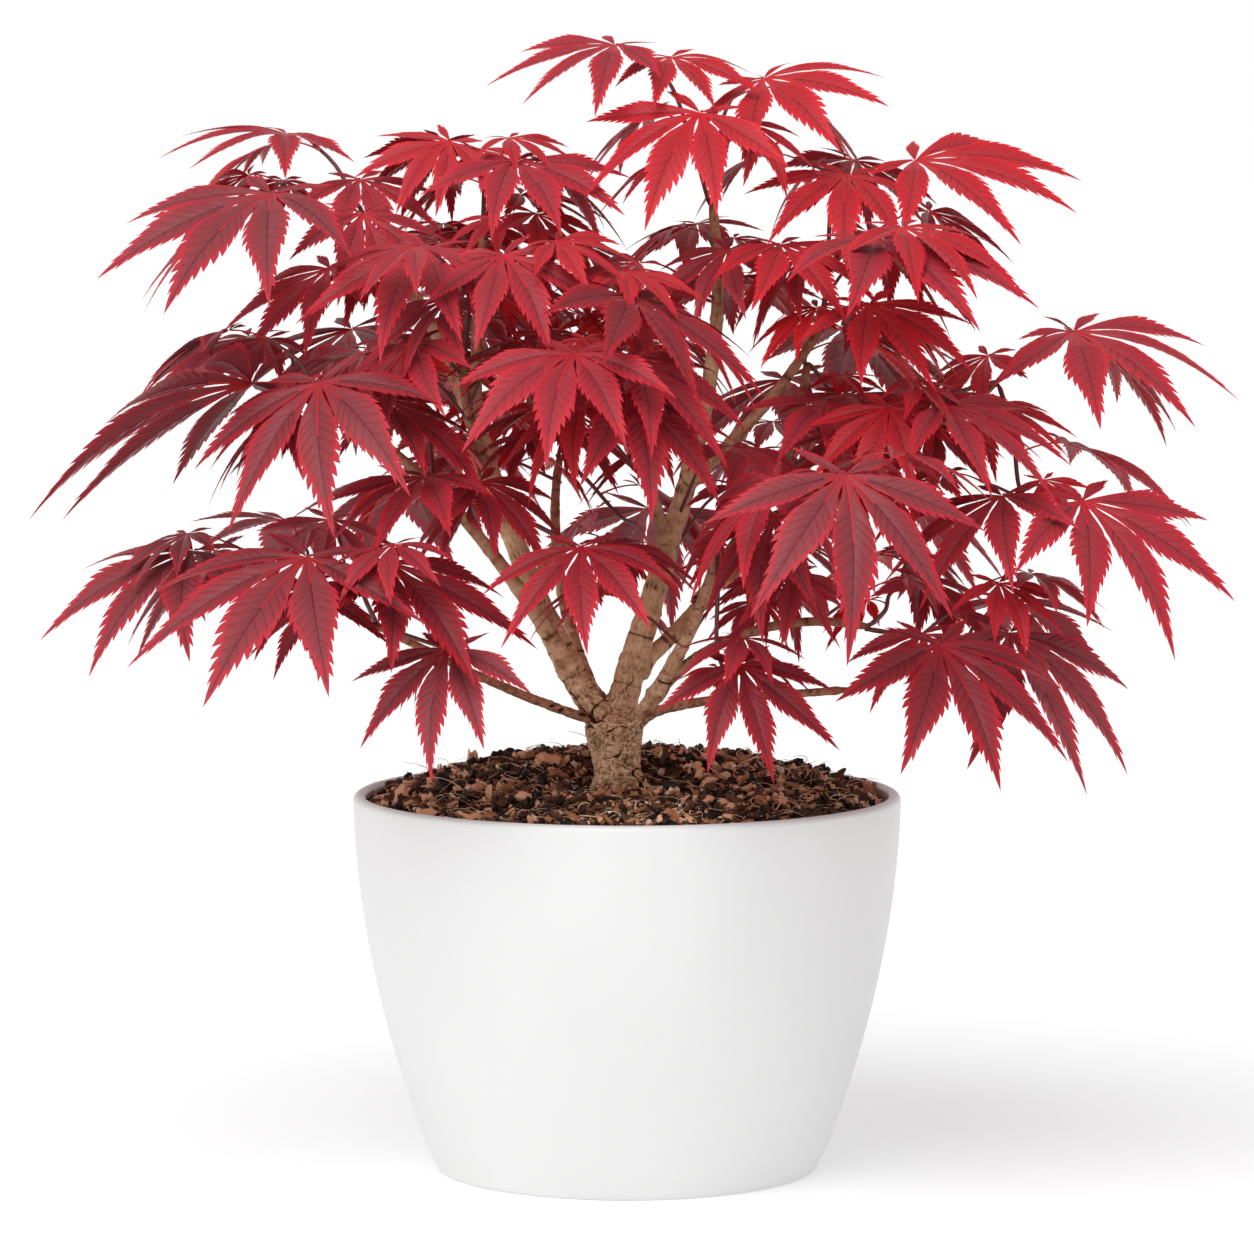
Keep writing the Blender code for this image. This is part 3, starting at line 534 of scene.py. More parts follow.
def leaf_solid(place, length, heading, droop, roll, extra=0.0):
    ahead, side, up = leaf_axes(heading, droop, roll)

    def at(reach, angle, lift=0.0):
        a = math.radians(angle)
        fall = LEAF_CURL * reach * reach / length
        return place + (ahead * math.cos(a) + side * math.sin(a)) * reach + up * (lift - fall)

    points, faces = [], []

    def add(point):
        points.append(point)
        return len(points) - 1

    def both(*corners):
        faces.append(tuple(c[0] for c in corners))
        faces.append(tuple(c[1] for c in reversed(corners)))

    def rim(reach, angle):
        k = add(at(reach, angle))
        return (k, k)

    def rib(reach, angle, thick):
        lift = thick * length / 2 + extra
        return (add(at(reach, angle, lift)), add(at(reach, angle, -lift)))

    heart = rib(0.0, 0.0, LEAF_THICK)
    before = rim(STALK_NOTCH[0] * length, STALK_NOTCH[1])
    first = before
    for k, (angle, share) in enumerate(LEAF_LOBES):
        reach = share * length
        tip = rim(reach, angle)
        if k + 1 < len(LEAF_LOBES):
            half = (LEAF_LOBES[k + 1][0] + angle) / 2
            small = min(share, LEAF_LOBES[k + 1][1])
            after = rim(NOTCH * length * (NOTCH_LEAST + (1 - NOTCH_LEAST) * small), half)
        else:
            after = first
        if share < SMALL_LOBE:
            both(heart, before, tip)
            both(heart, tip, after)
        else:
            swing = math.degrees(math.atan2(LOBE_WIDTH, LOBE_BELLY))
            belly = math.hypot(LOBE_WIDTH, LOBE_BELLY) * reach
            right, left = rim(belly, angle - swing), rim(belly, angle + swing)
            middle = rib(LOBE_BELLY * reach, angle, LEAF_THICK_LOBE)
            ends = (heart, before, right, tip, left, after, heart)
            for one, two in zip(ends, ends[1:]):
                both(middle, one, two)
        before = after
    return points, faces


# %% Twigs and the places of the leaves


def curve_between(start, start_way, end, end_way, pull):
    reach = (end - start).length * pull
    a, b = start + start_way * reach, end - end_way * reach
    path = []
    for k in range(TWIG_STEPS + 1):
        t = k / TWIG_STEPS
        path.append(start * (1 - t) ** 3 + a * (3 * t * (1 - t) ** 2)
                    + b * (3 * t * t * (1 - t)) + end * t ** 3)
    return path


class Spray:
    """One twig from a bough, with its leaves."""

    def __init__(self, name, row):
        self.name = name
        self.bough, place, length, heading, droop, roll, self.count, seed = row
        self.place = Vector(place) * MM
        self.lead = (length * MM, heading, droop, roll)
        self.random = random.Random(seed)
        self.hand = 1 if seed % 2 else -1
        self.leaves = []          # place, length, heading, droop, roll of every blade
        self.stalks = []          # the two ends of every stalk
        self.node = self.place - direction(heading, STALK_RISE) * (length * MM * STALK_SHARE)


def free_of(tree, skip=()):
    return not any(other.overlap(tree) for owner, other in obstacles if owner not in skip)


def add_leaf(spray, node, place, length, heading, droop, roll):
    """Add a blade and its stalk when neither touches anything."""
    if not free_of(tree_of(*leaf_solid(place, length, heading, droop, roll, GAP))):
        return False
    root = place - leaf_axes(heading, droop, roll)[0] * (STALK_ROOT * length)
    thick = tube([node, root], [r + GAP for r in STALK_RADII], 3)
    if not free_of(tree_of(*thick), (spray.name + "_wood",)):
        return False
    spray.leaves.append((place, length, heading, droop, roll))
    spray.stalks.append((node, root))
    blade = leaf_solid(place, length, heading, droop, roll)
    obstacles.append((spray.name + "_blade", tree_of(*blade)))
    obstacles.append((spray.name + "_wood", tree_of(*tube([node, root], STALK_RADII, 3))))
    return True


def stand_on_tip(mates, tip, along, radius):
    """Starting points of the twigs on a bough's end, shared out evenly round it."""
    if len(mates) == 1:
        return {mates[0].name: tip + along * GAP}
    across = along.orthogonal().normalized()
    third = along.cross(across)
    angles = {m.name: math.atan2((m.node - tip).dot(third), (m.node - tip).dot(across)) for m in mates}
    order = sorted(angles, key=angles.get)
    part = 2 * math.pi / len(order)
    lag = [angles[name] - k * part for k, name in enumerate(order)]
    turn = math.atan2(sum(math.sin(a) for a in lag), sum(math.cos(a) for a in lag))
    starts = {}
    for k, name in enumerate(order):
        a = turn + k * part
        starts[name] = tip + along * GAP + (across * math.cos(a) + third * math.sin(a)) * radius
    return starts


def lay_twig(spray, start, along, radii=STEM_RADII):
    """The spray's twig: the first of a few gentle curves that touches nothing."""
    heading = spray.lead[1]
    for k in range(TRIES):
        turn = TRY_TWIG_TURN * k * (1 if k % 2 == 0 else -1)
        arrive = direction(heading + turn, TWIG_ARRIVE + TRY_TWIG_CLIMB * k)
        pull = TWIG_PULL + TRY_TWIG_PULL * (k % TRY_PULLS)
        path = curve_between(start, along, spray.node, arrive, pull)
        path.insert(1, start + along * TWIG_STRAIGHT)
        thick, thin = radii
        last = len(path) - 1
        sizes = [thick * TWIG_FOOT] + [thick + (thin - thick) * i / last for i in range(1, last + 1)]
        clear = free_of(tree_of(*tube(path, [r + GAP / 2 for r in sizes], 3)), (spray.bough,))
        if clear:
            break
    spray.twig, spray.radii = path, sizes
    obstacles.append((spray.name + "_wood", tree_of(*tube(path, sizes, 3))))
    return clear


def place_lead(spray):
    length, heading, droop, roll = spray.lead
    node = point_along(spray.twig, LEAD_SHARE)
    for k in range(TRIES):
        sway = TRY_LEAD_SWAY * k * (1 if k % 2 == 0 else -1)
        if add_leaf(spray, node, spray.place, length * (1 - TRY_LEAD_SHRINK * k),
                    heading + sway, droop, roll):
            return True
    return False


def fill_spray(spray):
    """The other leaves: one across the lead, one lower down, a young one above, then more."""
    length, heading = spray.lead[:2]
    for share, turn, size, rise in FILL_PLAN[:spray.count - 1]:
        node = point_along(spray.twig, share)
        for k in range(TRIES):
            sway = spray.random.uniform(-1, 1) * (FILL_SWAY + TRY_FILL_SWAY * k)
            way = heading + turn * spray.hand + sway
            reach = length * size * spray.random.uniform(*FILL_SIZE) * (1 - TRY_FILL_SHRINK * k)
            fall = spray.random.uniform(*FILL_DROOP) + k
            stalk = reach * (STALK_SHARE if rise == STALK_RISE else YOUNG_STALK)
            place = node + direction(way, rise) * stalk
            roll = spray.random.uniform(-FILL_ROLL, FILL_ROLL)
            if add_leaf(spray, node, place, reach, way, fall, roll):
                break


def grow_sprays():
    sprays = [Spray(name, row) for name, row in SPRAYS.items()]
    for spray in sprays:
        path, radii = limbs[spray.bough]
        tip, along = path[-1], (path[-1] - path[-2]).normalized()
        mates = [s for s in sprays if s.bough == spray.bough]
        start = stand_on_tip(mates, tip, along, radii[-1] * TIP_SPREAD)[spray.name]
        straight = (spray.node - start).normalized()
        lay_twig(spray, start, (along * TWIG_AHEAD + straight).normalized())
        place_lead(spray)
    for spray in sprays:
        fill_spray(spray)
    return sprays


sprays = grow_sprays()
print(sum(len(spray.leaves) for spray in sprays), "leaves on", len(sprays), "twigs")

# %% [markdown]
# ## Finer twigs
#
# Between the sprays, thin side shoots leave the boughs and carry small young
# leaves, which close the crown where light still reaches it.  They could be placed
# one by one, but a plant places them by rule: each bud sits a fixed turn further
# round its bough than the last, so no shoot shades the next.  The same turn is used
# here.  Where the crown has windows of open sky, nothing grows: each window is
# a wedge along the line of sight, and a leaf that touches one is left out.

# %% Side shoots
SHOOT_FROM, SHOOT_STEP = 0.30, 9.0 * MM   # share of a limb where they begin, the space between
SHOOT_TURN, SHOOT_JITTER = 137.5, 35       # degrees from one shoot to the next, and how loosely
SHOOT_CLIMB, SHOOT_REACH = (50, 20), (46, 20)   # degrees and mm, from the first shoot to the last
SHOOT_LEAF, SHOOT_DROOP, SHOOT_ROLL = (42, 62), (12, 44), 14
SHOOT_RADII = (0.85 * MM, 0.60 * MM)
SHOOT_FORWARD = 0.5               # how much a shoot heads along its host, against straight out
SHOOT_COUNTS = (2, 3, 3)          # leaves on a shoot, drawn from these
SHOOT_TRIES, SHOOT_SEED, SHOOT_SEEDS = 8, 7, 99
SHOOTS_LOW, SHOOTS_HIGH = 0.200, 0.430   # shoots end between these heights
HOST_STEP = 0.05                  # share of a host over which its direction is read
# windows of sky, the last six over bare stems:
# middle across and up, half their width and height, in mm, at the trunk
SKY_WINDOWS = (
    (5, 406, 18, 12), (52, 408, 12, 9), (-170, 368, 20, 10), (-137, 291, 24, 9), (61, 344, 12, 12),
    (101, 336, 21, 8), (-39, 280, 12, 12), (-66, 233, 12, 10), (-37, 202, 16, 12), (-9, 219, 9, 20),
    (22, 236, 10, 9), (9, 192, 3, 9), (108, 234, 13, 10), (168, 356, 14, 8), (141, 265, 10, 8),
    (85, 210, 16, 7), (191, 318, 10, 8), (-110, 395, 9, 6), (-108, 295, 10, 9), (211, 240, 7, 16),
    (-118, 434, 20, 6), (-31, 435, 15, 6), (-97, 360, 11, 7), (-126, 358, 10, 5), (149, 357, 13, 8),
    (-85, 224, 8, 12), (-116, 220, 11, 11), (-28, 251, 5, 10), (-72, 245, 9, 8), (-70, 270, 4, 8),
    (-35, 454, 8, 11), (-8, 425, 8, 10), (205, 305, 12, 8), (218, 190, 8, 16),
    (11, 273, 6, 13), (17, 294, 6, 9), (36, 314, 7, 7), (-53, 256, 6, 8), (49, 346, 8, 6),
    (1, 202, 6, 10),
)
WINDOW_SIDES, WINDOW_DEPTH = 8, 0.18


def sky_wedge(across, up, half_width, half_height):
    """A window of sky as walls and crossed sheets that run along the line of sight."""
    eye = Vector(CAMERA_PLACE)
    rings = []
    for depth in (-WINDOW_DEPTH, WINDOW_DEPTH):
        share = (depth - eye.y) / -eye.y
        turns = [2 * math.pi * k / WINDOW_SIDES for k in range(WINDOW_SIDES)]
        ring = [Vector((across + half_width * math.cos(a), 0, up + half_height * math.sin(a))) * MM
                for a in turns] + [Vector((across, 0, up)) * MM]
        rings += [eye + (point - eye) * share for point in ring]
    middle, back = WINDOW_SIDES, WINDOW_SIDES + 1
    faces = []
    for k in range(WINDOW_SIDES):
        n = (k + 1) % WINDOW_SIDES
        faces += [(k, n, back + n, back + k), (k, middle, back + middle, back + k)]
    return tree_of(rings, faces)


class Shoot(Spray):
    """A thin twig from the side of a bough or of a spray's twig."""

    def __init__(self, name, host, path, share, turn, late, chance):
        start = point_along(path, share)
        ahead = point_along(path, min(share + HOST_STEP, 1)) - point_along(path, share - HOST_STEP)
        ahead.normalize()
        out = ahead.orthogonal().normalized()
        out.rotate(Quaternion(ahead, math.radians(turn)))
        heading = math.degrees(math.atan2(out.y + ahead.y * SHOOT_FORWARD,
                                          out.x + ahead.x * SHOOT_FORWARD))
        climb = SHOOT_CLIMB[0] + (SHOOT_CLIMB[1] - SHOOT_CLIMB[0]) * late
        reach = SHOOT_REACH[0] + (SHOOT_REACH[1] - SHOOT_REACH[0]) * late
        length = chance.uniform(*SHOOT_LEAF)
        node = start + direction(heading, climb) * (reach * MM)
        place = node + direction(heading, STALK_RISE) * (length * MM * STALK_SHARE)
        super().__init__(name, (host, place / MM, length, heading, chance.uniform(*SHOOT_DROOP),
                                chance.uniform(-SHOOT_ROLL, SHOOT_ROLL), chance.choice(SHOOT_COUNTS),
                                chance.randrange(SHOOT_SEEDS)))
        self.node, self.start = node, start

    def grow(self):
        ahead = (self.node - self.start).normalized()
        if not SHOOTS_LOW < self.node.z < SHOOTS_HIGH:
            return False
        if not lay_twig(self, self.start, ahead, SHOOT_RADII) or not place_lead(self):
            return False
        fill_spray(self)
        return True


def grow_shoots():
    chance = random.Random(SHOOT_SEED)
    obstacles.extend(("sky", sky_wedge(*window)) for window in SKY_WINDOWS)
    grown = []
    hosts = [(bough, limbs[bough][0]) for bough in BOUGHS]
    hosts += [(spray.name + "_wood", spray.twig) for spray in sprays]
    for host, path in hosts:
        length = sum((b - a).length for a, b in zip(path, path[1:]))
        count = int(length * (1 - SHOOT_FROM) / SHOOT_STEP)
        first = chance.uniform(0, 360)
        for k in range(count):
            late = (k + 0.5) / count
            for _ in range(SHOOT_TRIES):
                turn = first + SHOOT_TURN * k + chance.uniform(-SHOOT_JITTER, SHOOT_JITTER)
                shoot = Shoot("shoot_%d" % (len(grown) + 1), host, path,
                              SHOOT_FROM + (1 - SHOOT_FROM) * late, turn, late, chance)
                before = len(obstacles)
                if shoot.grow():
                    grown.append(shoot)
                    break
                del obstacles[before:]
    return grown


shoots = grow_shoots()
print(sum(len(shoot.leaves) for shoot in shoots), "young leaves on", len(shoots), "side shoots")

# %% [markdown]
# ## Bark
#
# Old bark on this plant is grey-brown and wrinkled: folds circle the fork, cracks
# run where limbs press together, and rings mark where each year's shoot began.
# Young bark is smooth and turns red towards the twigs.  Sculpting by hand could
# give all this.  Here the main stems are curves with a radius at each point, fused
# by a voxel remesh so that the fork flows, and then every point is moved along its
# normal by a relief worked out from where it lies.  The side boughs are thin, so
# they stay plain tubes with a swollen collar at the foot.

# %% Sizes of the bark
MAIN_LIMBS = ("trunk", "left_leader", "centre_leader", "right_low_stem", "left_back_stem")
LIMB_STEP = 1.6 * MM              # between the points along a limb
TRUNK_SUNK = 3.0 * MM             # how far the trunk's skin reaches into the soil
MAIN_VOXEL = 0.5 * MM
COLLAR_SWELL, COLLAR_REACH = 0.55, 1.1   # at a side bough's foot, in its own radii
NODE_STEP = 21.0 * MM             # between the rings on a limb
NODE_SWELL, NODE_WIDTH = 0.13, 1.1 * MM
TIP_CLOSE, TIP_SIZE = 5.0 * MM, 0.62   # a bough narrows over this length, to this share
TRUNK_POINTS, TRUNK_SPREAD = 24, 1.02   # points along the trunk, and how it widens in the soil
FOOT_HIDDEN = 0.8                 # a bough's foot is hidden inside this share of its parent's radius


def smooth_path(path, step):
    """Points along a soft curve through the path, with each one's place on it."""
    ends = [path[0] * 2 - path[1], *path, path[-1] * 2 - path[-2]]
    points, places = [], []
    for k in range(len(path) - 1):
        a, b, c, d = ends[k:k + 4]
        count = max(2, round((c - b).length / step))
        for i in range(count + (k == len(path) - 2)):
            t = i / count
            points.append(0.5 * (b * 2 + (c - a) * t + (a * 2 - b * 5 + c * 4 - d) * t ** 2
                                 + (b * 3 - a - c * 3 + d) * t ** 3))
            places.append(k + t)
    return points, places


def limb_curve(name):
    """Centre points and radii of one limb, with its collar, rings and tip."""
    path, radii = limbs[name]
    if name == "trunk":
        shares, sizes = zip(*TRUNK_SHAPE)
        stations = np.linspace(0, 1, TRUNK_POINTS)
        points = [trunk_axis(share) for share in stations]
        thick = [float(np.interp(share, shares, sizes)) * MM for share in stations]
        points.insert(0, points[0] - Vector((0, 0, TRUNK_SUNK)))
        return points, [thick[0] * TRUNK_SPREAD, *thick]
    points, places = smooth_path(path, LIMB_STEP)
    gone, thick = 0.0, []
    total = sum((b - a).length for a, b in zip(points, points[1:]))
    parent = BOUGHS[name][0]
    hidden = 0.0 if parent == "trunk" else limbs[parent][1][0] * FOOT_HIDDEN
    for k, place in enumerate(places):
        if k:
            gone += (points[k] - points[k - 1]).length
        radius = float(np.interp(place, range(len(radii)), radii))
        past = max(gone - hidden, 0.0)
        if parent != "trunk":
            radius *= 1 + COLLAR_SWELL * math.exp(-(past / (COLLAR_REACH * radius)) ** 2)
        ring = (gone + hidden) % NODE_STEP - NODE_STEP / 2
        radius *= 1 + NODE_SWELL * math.exp(-(ring / NODE_WIDTH) ** 2)
        left = (total - gone) / TIP_CLOSE
        if left < 1:
            radius *= TIP_SIZE + (1 - TIP_SIZE) * left
        thick.append(radius)
    return points, thick


def curves_to_mesh(name, runs, resolution):
    """One piece of round tubes, each run a list of points and their radii."""
    deselect()
    bpy.ops.curve.primitive_nurbs_path_add()
    piece = bpy.context.object
    piece.name = name
    shape = piece.data
    shape.splines.clear()
    shape.bevel_depth = 1.0
    shape.bevel_resolution = resolution
    shape.use_fill_caps = True
    for points, radii in runs:
        spline = shape.splines.new("POLY")
        spline.points.add(len(points) - 1)
        for knot, point, radius in zip(spline.points, points, radii):
            knot.co = (*point, 1)
            knot.radius = radius
    only(piece)
    bpy.ops.object.convert(target="MESH")
    return bpy.context.object


# %% Relief of the bark
FOLD_TOP, FOLD_FADE = 203 * MM, 16 * MM   # the old bark's folds end about here
FOLD_SIZE, FOLD_LINES, FOLD_DEPTH = 9.0 * MM, 26, 0.20 * MM
FOLD_FLATTEN = 1.5                # folds lie more round the trunk than along it
FOLD_SWIRL, FOLD_WARP, FOLD_FRAY = 0.7, 0.9, 0.5
FOLD_SEED = 1                     # without a seed, the clock would place the swirls anew each run
CRACK_DEPTH, CRACK_SIZE, CRACK_WIDTH = 1.10 * MM, 8.5 * MM, 0.050
CRACK_SHIFT = Vector((3, 7, 1))   # so that cracks and lumps don't share one noise
CRACK_PATCHES, CRACK_MORE, CRACK_GAIN = 1.7, 0.25, 2
STREAK_DEPTH, STREAK_SIZE, STREAK_STRETCH = 0.10 * MM, 1.1 * MM, 0.90
SPOT_SIZE, SPOT_WIDTH = 4.2 * MM, 0.17
RING_WIDTH, FLARE_TOP = 0.45 * MM, 0.4
LUMP_SHARE, LUMP_SIZE, PATCH_SIZE = 0.085, 1.3, 9 * MM
YOUNG_RADIUS, OLD_RADIUS = 1.5 * MM, 3.6 * MM
# how light the bark is: its middle tone, and what each kind of relief adds or takes; folds and cracks as
# painted shade
TONE, STREAK_TONE, OLD_STREAK_TONE, PATCH_TONE = 0.53, 0.16, 0.10, 0.14
FOLD_LIGHT_AND_SHADE, CRACK_SHADE, RING_TONE, SPOT_TONE = 0.15, 1.1, 0.35, 0.55


def limb_places(names):
    """Every centre point with its radius and its limb's direction, for nearest look-ups."""
    entries = []
    for name in names:
        points, radii = limb_curve(name)
        gone = NODE_STEP / 2
        for k, point in enumerate(points):
            ahead = (points[min(k + 1, len(points) - 1)] - points[max(k - 1, 0)]).normalized()
            gone += (point - points[k - 1]).length if k else 0.0
            entries.append((point, radii[k], ahead, gone))
    tree = kdtree.KDTree(len(entries))
    for k, entry in enumerate(entries):
        tree.insert(entry[0], k)
    tree.balance()
    return entries, tree


def folds_and_cracks(p, streak):
    """The old bark's swirling folds, from -1 to 1, and its cracks, from 0 up."""
    q = Vector((p.x, p.y, p.z * FOLD_FLATTEN)) / FOLD_SIZE
    q += noise.noise_vector(q * FOLD_SWIRL) * FOLD_WARP
    fold = math.sin(noise.noise(q) * FOLD_LINES + streak * FOLD_FRAY)
    crack = max(0.0, 1 - abs(noise.noise(p / CRACK_SIZE + CRACK_SHIFT)) / CRACK_WIDTH)
    crack *= max(0.0, noise.noise(p / CRACK_SIZE / CRACK_PATCHES) + CRACK_MORE) * CRACK_GAIN
    return fold, crack


def root_flare(p, radius):
    """How far the trunk's foot swells towards its roots."""
    if p.z >= TRUNK_FOOT_Z + TRUNK_HEIGHT * FLARE_TOP:
        return 0.0
    share = max((p.z - TRUNK_FOOT_Z) / TRUNK_HEIGHT, 0.0)
    angle = math.atan2(p.y - TRUNK_Y, p.x - TRUNK_X)
    return radius * ROOT_FLARE * (1 - share) ** ROOT_FALL * math.cos(ROOT_COUNT * angle + TRUNK_TURN)


def carve_bark(piece, names):
    """Move each point along its normal; keep as attributes its age and its relief, a tone with painted
    shade in cracks and fold hollows.
    """
    noise.seed_set(FOLD_SEED)
    entries, tree = limb_places(names)
    mesh = piece.data
    moved, tones_and_shade, ages, olds = [], [], [], []
    for vertex in mesh.vertices:
        p = vertex.co
        near, index, _ = tree.find(p)
        _, radius, ahead, gone = entries[index]
        along = (p - near).dot(ahead)
        drawn = p - ahead * along * STREAK_STRETCH
        streak = noise.noise(drawn / STREAK_SIZE)
        lump = noise.noise(p / (LUMP_SIZE * radius)) * LUMP_SHARE * radius
        old = min(max((FOLD_TOP + FOLD_FADE - p.z) / (2 * FOLD_FADE), 0.0), 1.0)
        fold, crack = folds_and_cracks(p, streak)
        push = (lump + streak * STREAK_DEPTH + old * (fold * FOLD_DEPTH - crack * CRACK_DEPTH))
        ring = math.exp(-(((gone + along) % NODE_STEP - NODE_STEP / 2) / RING_WIDTH) ** 2)
        spot = max(0.0, 1 - noise.voronoi(drawn / SPOT_SIZE)[0][0] / SPOT_WIDTH)
        mark = (RING_TONE * ring + SPOT_TONE * spot) * (1 - old)
        push += root_flare(p, radius)
        moved.append(p + vertex.normal * push)
        patch = noise.noise(p / PATCH_SIZE)
        # painted shade: the tone is lighter on fold tops and darker in fold hollows and cracks
        tones_and_shade.append(TONE + (STREAK_TONE + OLD_STREAK_TONE * old) * streak + PATCH_TONE * patch
                     + old * (FOLD_LIGHT_AND_SHADE * fold - CRACK_SHADE * crack) - mark)
        ages.append(min(max((radius - YOUNG_RADIUS) / (OLD_RADIUS - YOUNG_RADIUS), 0.0), 1.0))
        olds.append(old)
    for label, values in (("relief", tones_and_shade), ("age", ages), ("fold", olds)):
        mesh.attributes.new(label, "FLOAT", "POINT").data.foreach_set("value", values)
    for vertex, place in zip(mesh.vertices, moved):
        vertex.co = place
    mesh.update()


# %% Bark finish
OLD_BARK = ((0.08, (0.045, 0.014, 0.005)), (0.30, (0.24, 0.112, 0.052)),
            (0.50, (0.64, 0.370, 0.205)), (0.80, (0.94, 0.67, 0.45)))
YOUNG_BARK = ((0.10, (0.050, 0.012, 0.007)), (0.42, (0.230, 0.062, 0.036)),
              (0.90, (0.55, 0.220, 0.130)))
FINE_FOLD_SIZE, FINE_FOLD_LINES, FINE_FOLD_SHADE, FINE_FOLD_SWIRL = 6.0 * MM, 75, 0.13, 0.8
BARK_FLECKS, FLECK_TONE = 260, 0.55   # flecks to the metre, and how strong they are
BARK_DEPTH = 0.0010


def fine_folds(material):
    """Hair-thin swirling lines between the folds: a noise turned into contours by a sine, used as bump
    and as painted shade.
    """
    swirl = object_noise(material, 1 / FINE_FOLD_SIZE, 1, (1, 1, FOLD_FLATTEN))
    swirl.inputs["Distortion"].default_value = FINE_FOLD_SWIRL
    lines = maths(material, "MULTIPLY", swirl.outputs["Fac"], FINE_FOLD_LINES)
    return maths(material, "MULTIPLY", maths(material, "SINE", lines), attribute(material, "fold"))


def bark_finish():
    """Grey-brown where the wood is thick, red-brown where it is thin, with painted shade in its cracks
    and along its folds.
    """
    material = principled("bark", (0.30, 0.19, 0.13), 0.78, 0.22)
    nodes, links = material.node_tree.nodes, material.node_tree.links
    fleck = object_noise(material, BARK_FLECKS, 5).outputs["Fac"]
    # the relief attribute is the bark's tone, its painted shade in cracks and folds included
    relief = maths(material, "SUBTRACT", attribute(material, "relief"), FLECK_TONE / 2)
    tone = maths(material, "MULTIPLY_ADD", fleck, FLECK_TONE, relief)
    # painted shade: the fine fold lines darken and lighten the colour as well as the bump
    shade = maths(material, "MULTIPLY_ADD", fine_folds(material), FINE_FOLD_SHADE, tone)
    blend = nodes.new("ShaderNodeMix")
    blend.data_type = "RGBA"
    links.new(attribute(material, "age"), blend.inputs["Factor"])
    links.new(ramp(material, tone, YOUNG_BARK), blend.inputs["A"])
    links.new(ramp(material, shade, OLD_BARK), blend.inputs["B"])
    links.new(blend.outputs["Result"], nodes["Principled BSDF"].inputs["Base Color"])
    add_bump(material, shade, BARK_DEPTH, 0.8)
    return material


# %% Trunk and main stems
COARSE_ABOVE, COARSE_RATIO = 235 * MM, 0.62


def thin_out(piece, height, ratio):
    """Fewer faces above a height, where the bark is smooth."""
    upper = piece.vertex_groups.new(name="upper")
    high = [vertex.index for vertex in piece.data.vertices if vertex.co.z > height]
    upper.add(high, 1.0, "REPLACE")
    apply_modifier(piece, "DECIMATE", ratio=ratio, vertex_group="upper")


bark = bark_finish()
stems = curves_to_mesh("trunk_and_main_stems", [limb_curve(name) for name in MAIN_LIMBS], 6)
apply_modifier(stems, "REMESH", mode="VOXEL", voxel_size=MAIN_VOXEL, use_smooth_shade=True)
apply_modifier(stems, "SMOOTH", factor=0.5, iterations=5)
thin_out(stems, COARSE_ABOVE, COARSE_RATIO)
carve_bark(stems, MAIN_LIMBS)
stems.data.materials.clear()
stems.data.materials.append(bark)
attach(stems, "root")
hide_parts(*MAIN_LIMBS)
print("main stems", triangles(stems), "triangles")

# %% Side boughs
SIDE_LIMBS = tuple(name for name in BOUGHS if name not in MAIN_LIMBS)
side_boughs = curves_to_mesh("side_boughs", [limb_curve(name) for name in SIDE_LIMBS], 5)
carve_bark(side_boughs, SIDE_LIMBS)
side_boughs.data.materials.clear()
side_boughs.data.materials.append(bark)
only(side_boughs)
bpy.ops.object.shade_smooth()
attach(side_boughs, "root")
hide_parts(*SIDE_LIMBS)
print("side boughs", triangles(side_boughs), "triangles")

# %% [markdown]
# ## Twigs and leaf stalks
#
# A twig of this summer is thin, smooth and dark red, and each leaf hangs on a stalk
# as bright as wet paint.  Both are too thin to need relief.  They are curves again,
# turned to mesh, one piece for all the twigs and one for all the stalks, so that
# each kind keeps one finish.

# %% Twigs
TWIG_STEP = 4.0 * MM
TWIG_SUNK = 2.2 * MM              # a twig's skin starts this far inside its bough
STALK_SAG = 0.07                  # how far a stalk bows, of its length
STALK_POINTS = 5
STALK_WAIST, STALK_FLARE = 0.80, 0.35   # its thickness midway, and what its ends have more
STALK_THIN, STALK_FULL = 0.55, 0.12   # a small leaf's stalk is thinner, by the leaf's length in m
THIN_GRAIN, THIN_DEPTH = 1400, 0.00006


def twig_run(spray):
    points, places = smooth_path(spray.twig, TWIG_STEP)
    radii = [float(np.interp(place, range(len(spray.radii)), spray.radii)) for place in places]
    inward = (spray.twig[0] - spray.twig[1]).normalized()
    return [points[0] + inward * TWIG_SUNK, *points], [radii[0], *radii]


def stalk_run(node, root, length):
    """A stalk bows a little, is thick at both ends and meets the leaf's heart."""
    points, radii = [], []
    sag = Vector((0, 0, (root - node).length * STALK_SAG))
    for k in range(STALK_POINTS + 1):
        t = k / STALK_POINTS
        points.append(node.lerp(root, t) + sag * 4 * t * (1 - t))
        size = STALK_RADII[0] + (STALK_RADII[1] - STALK_RADII[0]) * t
        size *= STALK_WAIST + STALK_FLARE * (2 * t - 1) ** 4
        radii.append(size * min(1.0, STALK_THIN + length / STALK_FULL))
    return points, radii


def thin_finish(name, colour, roughness):
    material = principled(name, colour, roughness)
    add_bump(material, object_noise(material, THIN_GRAIN, 2).outputs["Fac"], THIN_DEPTH, 0.5)
    return material


def make_twigs(all_sprays):
    twigs = curves_to_mesh("twigs", [twig_run(spray) for spray in all_sprays], 2)
    runs = [stalk_run(node, root, leaf[1]) for spray in all_sprays
            for (node, root), leaf in zip(spray.stalks, spray.leaves)]
    stalks = curves_to_mesh("leaf_stalks", runs, 1)
    for piece, material in ((twigs, thin_finish("young_bark", (0.150, 0.030, 0.026), 0.5)),
                            (stalks, thin_finish("red_stalk", (0.46, 0.020, 0.026), 0.38))):
        piece.data.materials.clear()
        piece.data.materials.append(material)
        only(piece)
        bpy.ops.object.shade_smooth()
        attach(piece, "root")
        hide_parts(*SPRAYS)
        print(piece.name, triangles(piece), "triangles")


make_twigs(sprays + shoots)
